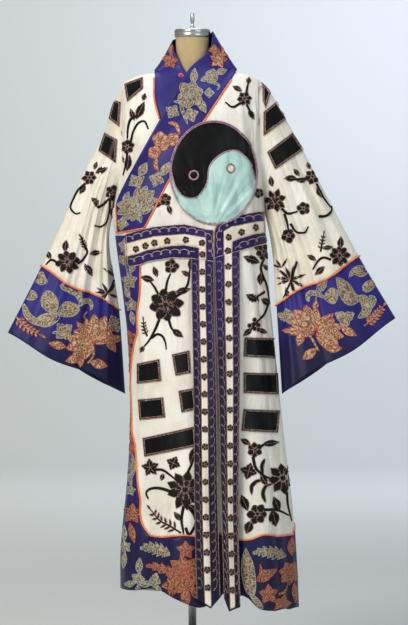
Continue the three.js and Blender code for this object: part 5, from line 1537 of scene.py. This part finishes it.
streamerCords, drop = Pile(), 900.0
for side in ("right", "left"):
    a, b = streamers[side]["stripe"]
    spread = {"right": 66.0, "left": 58.0}[side]
    table = streamerGrid(side, np.linspace(0, 1, 41))  # rows v, columns u

    def onStreamer(u, v, off):
        i = np.clip(u, 0, 1) * 40
        j = np.clip(v, 0, 1) * (streamers["rows"] - 1)
        i0, j0 = np.minimum(i.astype(int), 39), np.minimum(j.astype(int), streamers["rows"] - 2)
        fi, fj = (i - i0)[:, None], (j - j0)[:, None]
        p = (table[j0, i0] * (1 - fi) * (1 - fj) + table[j0, i0 + 1] * fi * (1 - fj)
             + table[j0 + 1, i0] * (1 - fi) * fj + table[j0 + 1, i0 + 1] * fi * fj)
        return p + np.array([0, -1.0, 0]) * off

    for middle, wide in ((a / 2, a), ((1 + b) / 2, 1 - b)):
        s = np.arange(6, drop - 30, 1.5)
        turn = 2 * np.pi * s / scroll["length"]
        half = min(scroll["high"], wide * spread * 0.30) / spread
        u, v = middle + half * np.cos(turn), (s + scroll["swing"] * np.sin(turn)) / drop
        streamerCords.put(*tube(onStreamer(u, v, 1.9), scroll["radius"], 4, 0.7))
    for line in (0.012, a, b, 0.988):
        v = np.linspace(0, 0.995, 150)
        streamerCords.put(*tube(onStreamer(np.full(150, line), v, 2.0), 1.25, 5, 0.8))
    spray = Spray()
    middle = (a + b) / 2
    for n, v in enumerate(np.arange(0.035, 0.97, 0.0505)):
        x, _, z = onStreamer(np.array([middle]), np.array([v]), 0)[0]
        spray.flower(*toPhoto(x, z), 8.6 / mm, 5, 20 + 31 * n, 0.7, 0.26, 1.05)
    stripe = Carrier(streamerObjects["cream_" + side], streamerObjects[side])
    workPieces += spray.make("streamer_florets_" + side, stripe.lay, blackVelvet, couchedBrown, "black_velvet")
workPieces.append((streamerCords.make("streamer_cords", streamerThread), "cream_satin"))
print("sash and streamer work laid")

# Top stitches along the seams, set out by Geometry Nodes: rows of edges in, small silk grains along them out.
stitch = {"gap": 7.0, "length": 4.2, "radius": 0.5, "seed": 5}


def stitchTree():
    tree = bpy.data.node_groups.new("stitch_rows", "GeometryNodeTree")
    sockets = {}
    for name, kind in (("Rows", "NodeSocketGeometry"), ("Gap", "NodeSocketFloat"), ("Length", "NodeSocketFloat"),
                       ("Radius", "NodeSocketFloat"), ("Thread", "NodeSocketMaterial")):
        sockets[name] = tree.interface.new_socket(name, in_out="INPUT", socket_type=kind).identifier
    tree.interface.new_socket("Stitches", in_out="OUTPUT", socket_type="NodeSocketGeometry")
    given = addNode(tree, "NodeGroupInput").outputs
    rows = addNode(tree, "GeometryNodeMeshToCurve", links={"Mesh": given["Rows"]})
    spots = addNode(tree, "GeometryNodeCurveToPoints", {"mode": "LENGTH"},
                    links={"Curve": rows.outputs["Curve"], "Length": given["Gap"]})
    grain = addNode(tree, "GeometryNodeMeshIcoSphere", values={"Radius": 1.0, "Subdivisions": 1})
    vary = addNode(tree, "FunctionNodeRandomValue", {"data_type": "FLOAT"}, {"Seed": stitch["seed"]})
    vary.inputs[2].default_value, vary.inputs[3].default_value = 0.42, 0.55
    reach = addNode(tree, "Math", {"operation": "MULTIPLY"}, links={0: given["Length"], 1: vary.outputs[1]})
    size = addNode(tree, "CombineXYZ",
                   links={"X": given["Radius"], "Y": given["Radius"], "Z": reach.outputs[0]})
    sewn = addNode(tree, "GeometryNodeInstanceOnPoints", links={
        "Points": spots.outputs["Points"], "Instance": grain.outputs["Mesh"],
        "Rotation": spots.outputs["Rotation"], "Scale": size.outputs[0]})
    solid = addNode(tree, "GeometryNodeRealizeInstances", links={"Geometry": sewn.outputs["Instances"]})
    dressed = addNode(tree, "GeometryNodeSetMaterial", links={
        "Geometry": solid.outputs["Geometry"], "Material": given["Thread"]})
    addNode(tree, "NodeGroupOutput", links={"Stitches": dressed.outputs["Geometry"]})
    return tree, sockets


rowTree, rowSockets = stitchTree()


def stitchRows(name, rows, material):
    points = np.concatenate([row for row, _ in rows]) / 1000
    edges, start = [], 0
    for row, closed in rows:
        n = len(row)
        edges += [(start + i, start + (i + 1) % n) for i in range(n if closed else n - 1)]
        start += n
    mesh = bpy.data.meshes.new(name + "_rows")
    mesh.from_pydata(points.tolist(), edges, [])
    rowObject = addObject(name + "_rows", mesh)
    modifier = rowObject.modifiers.new("stitches", "NODES")
    modifier.node_group = rowTree
    for key, value in (("Gap", stitch["gap"] / 1000), ("Length", stitch["length"] / 1000),
                       ("Radius", stitch["radius"] / 1000), ("Thread", material)):
        modifier[rowSockets[key]] = value
    made = bpy.data.meshes.new_from_object(rowObject.evaluated_get(bpy.context.evaluated_depsgraph_get()))
    rowObject.modifiers.remove(modifier)
    bpy.data.objects.remove(rowObject)
    made.name = name
    if not made.materials:
        made.materials.append(material)
    made.polygons.foreach_set("use_smooth", [True] * len(made.polygons))
    return addObject(name, made)


selfStitch = velvet("violet_sewing_silk", stops("#2A2468 #3E3888 #5A54A0"), 0.5, 0.1, 3.0, 0.1)
paleStitch = velvet("ivory_sewing_silk", stops("#B9AE90 #CFC6AC #E2DCC8"), 0.5, 0.1, 3.0, 0.1)
blueRows, creamRows = [], []
for side in ("left", "right"):
    k = np.arange(160)[:, None] / 160
    for t, kind in ((0.016, blueRows), (-0.014, creamRows)):
        ring = sleevePoint(side, np.full((160, 1), sleeves[side]["cuff"] + t), k)[:, 0]
        kind.append((ring + unit(ring - ring.mean(0)) * 2.2, True))
blueRows.append((level(onBody, pipingParam - pipingAcross * 5.4, 2.1), False))
hemAngles = np.linspace(89, -89, 200)
blueRows.append((level(onBody, np.column_stack([hemAngles * 3, hemHeight(hemAngles) + 7.0]), 2.1), False))
for share in (0.06, 0.94):
    edge = curved([(r[4] + share * (r[1] - r[4]), r[6] + share * (r[3] - r[6])) for r in collars["outer"][6:]], 5.0)
    laid = carriers["collar"].lay(edge, np.full(len(edge), 0.35), strict=True)
    blueRows.append((laid[np.isfinite(laid).all(1)], False))
creamRows.append((level(onBody, pipingParam + pipingAcross * 4.6, 0.4), False))
seamStitches = stitchRows("stitches_blue", blueRows, selfStitch)
creamStitches = stitchRows("stitches_cream", creamRows, paleStitch)
workPieces += [(seamStitches, "blue_satin"), (creamStitches, "cream_satin")]
print("stitches sewn:", len(seamStitches.data.polygons) + len(creamStitches.data.polygons), "faces")

# Studio: a pale paper sweep well behind the cameras of all views, big soft lights, a level camera.
studio = {"half": 30.0, "front": -30.0, "curve": 3.0, "start": 13.5, "top": 16.0}
sweepPoints, sweepFaces = [], []
profile = [(studio["front"], 0.0), (studio["start"], 0.0)]
for i in range(1, 13):
    a = math.radians(90 * i / 12)
    profile.append((studio["start"] + studio["curve"] * math.sin(a), studio["curve"] * (1 - math.cos(a))))
profile.append((studio["start"] + studio["curve"], studio["top"]))
for y, z in profile:
    sweepPoints += [(x * 1000, y * 1000, z * 1000 - 1.0) for x in (-studio["half"], studio["half"])]
for j in range(len(profile) - 1):
    sweepFaces.append((2 * j, 2 * j + 1, 2 * j + 3, 2 * j + 2))
paper, tree, surface, here = startMaterial("studio_paper", {"Base Color": toLinear("#D6DEE0"), "Roughness": 0.9,
                                                      "Specular IOR Level": 0.1})
# painted light in the paper colour: lighter higher up and brightest at the upper right, darker low down as painted
# shade
parts = addNode(tree, "SeparateXYZ", links={"Vector": here})
across = addNode(tree, "MapRange", {"interpolation_type": "SMOOTHSTEP"},
                 {"From Min": -1.64, "From Max": 1.64}, {"Value": parts.outputs["X"]})
upwards = addNode(tree, "MapRange", {"interpolation_type": "SMOOTHSTEP"},
                  {"From Min": 0.0, "From Max": 3.0}, {"Value": parts.outputs["Z"]})
paintedShadeLow = addNode(tree, "Mix", {"data_type": "RGBA"}, {6: toLinear("#CACBC5"), 7: toLinear("#C2C7C8")},
                {0: across.outputs["Result"]})
paintedLightHigh = addNode(tree, "Mix", {"data_type": "RGBA"}, {6: toLinear("#D8DEDA"), 7: toLinear("#E8ECF1")},
                {0: across.outputs["Result"]})
wall = addNode(tree, "Mix", {"data_type": "RGBA"}, None,
               {0: upwards.outputs["Result"], 6: paintedShadeLow.outputs[2], 7: paintedLightHigh.outputs[2]})
tree.links.new(wall.outputs[2], surface.inputs["Base Color"])
sweep = newObject("studio_sweep", sweepPoints, sweepFaces, paper)

lamps = {
    "key": {"place": (-2.6, -4.2, 3.4), "aim": (0, 0, 1.05), "size": 1.6, "power": 190, "colour": "#FFF8EE"},
    "fill": {"place": (3.4, -4.6, 1.9), "aim": (0, 0, 0.9), "size": 3.0, "power": 48, "colour": "#F2F6FF"},
    "top": {"place": (0.3, -0.8, 4.6), "aim": (0, 0.1, 1.0), "size": 2.6, "power": 42, "colour": "#F6FAFF"},
    "wall": {"place": (3.4, 9.0, 7.4), "aim": (1.7, 16.5, 2.7), "size": 4.4, "power": 610, "colour": "#F4F8FF"},
    "ground": {"place": (0.0, 4.5, 6.5), "aim": (0.0, 5.5, 0.0), "size": 4.0, "power": 168, "colour": "#F8FAFF"},
}
for name, lamp in lamps.items():
    data = bpy.data.lights.new("lamp_" + name, "AREA")
    data.size, data.energy, data.color = lamp["size"], lamp["power"], toLinear(lamp["colour"])[:3]
    obj = addObject("lamp_" + name, data)
    obj.location = lamp["place"]
    obj.rotation_euler = (Vector(lamp["aim"]) - Vector(lamp["place"])).to_track_quat("-Z", "Y").to_euler()
world = bpy.data.worlds.new("studio_air")
world.use_nodes = True
world.node_tree.nodes["Background"].inputs["Color"].default_value = toLinear("#EEF3F6")
world.node_tree.nodes["Background"].inputs["Strength"].default_value = 0.38
bpy.context.scene.world = world
bpy.context.scene.view_settings.view_transform = "Standard"

cameraSet = {"distance": 11.0}
middleX, middleZ = fromPhoto(photo["width"] / 2, photo["height"] / 2)
cameraData = bpy.data.cameras.new("photo_camera")
cameraData.sensor_fit = "VERTICAL"
cameraData.sensor_height = 24.0
cameraData.lens = 24.0 * cameraSet["distance"] * 1000 / (photo["height"] * photo["mmPerPixel"])
cameraData.clip_end = 60.0
camera = addObject("photo_camera", cameraData)
camera.location = (middleX / 1000, -cameraSet["distance"], middleZ / 1000)
camera.rotation_euler = (math.radians(90), 0, 0)
bpy.context.scene.camera = camera

# the nodes that the pieces stand for, in order: slot, end of the pieces' names, nodes
stands = [
    ("cream_satin", "_satin", "front_outer front_inner back_left back_right"), ("blue_satin", "_satin", "border_front"),
    ("orange_satin", "_cord", "piping_border"),
    ("blue_satin", "_satin", "border_back_left border_back_right sash_right sash_left streamer_right streamer_left"
                             " collar_under collar_outer"),
    ("orange_satin", "_cord", "piping_collar piping_under"), ("black_velvet", "_satin", "disc_dark"),
    ("teal_satin", "_satin", "disc_pale"), ("black_velvet", "_silk", "eye_dark"), ("cream_satin", "_silk", "eye_pale"),
    ("pink_satin", "", "button"), ("linen", "", "form_torso"), ("steel", "_turned", "neck_cap top_pin stand_pole"),
    ("iron", "_turned", "stand_base"),
    ("cream_satin", "_satin", "sleeve_left"), ("blue_satin", "_satin", "cuff_left"),
    ("orange_satin", "_cord", "piping_cuff_left"), ("cream_satin", "_satin", "sleeve_right"),
    ("blue_satin", "_satin", "cuff_right"), ("orange_satin", "_cord", "piping_cuff_right"),
    ("black_velvet", "_satin", " ".join(bars)),
]
ownNames = {"button": "knot_button", "form_torso": "form_linen"}
for slotName, ending, nodes in stands:
    for node in nodes.split():
        piece = bpy.data.objects[ownNames.get(node, node + ending)]
        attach(piece, "root")
        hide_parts(node)
trims = [("orange_satin", "piping_band_end"), ("black_velvet", "bar_cords"), ("orange_satin", "piping_back_cord"),
         ("black_velvet", "disc_cords eye_dark_ring"),
         ("cream_satin", "eye_pale_ring sash_stripe_right sash_stripe_left streamer_stripe_right streamer_stripe_left")]
trimPieces = [(bpy.data.objects[name], slotName) for slotName, names in trims for name in names.split()]
for piece, slotName in trimPieces + workPieces:
    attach(piece, "root")
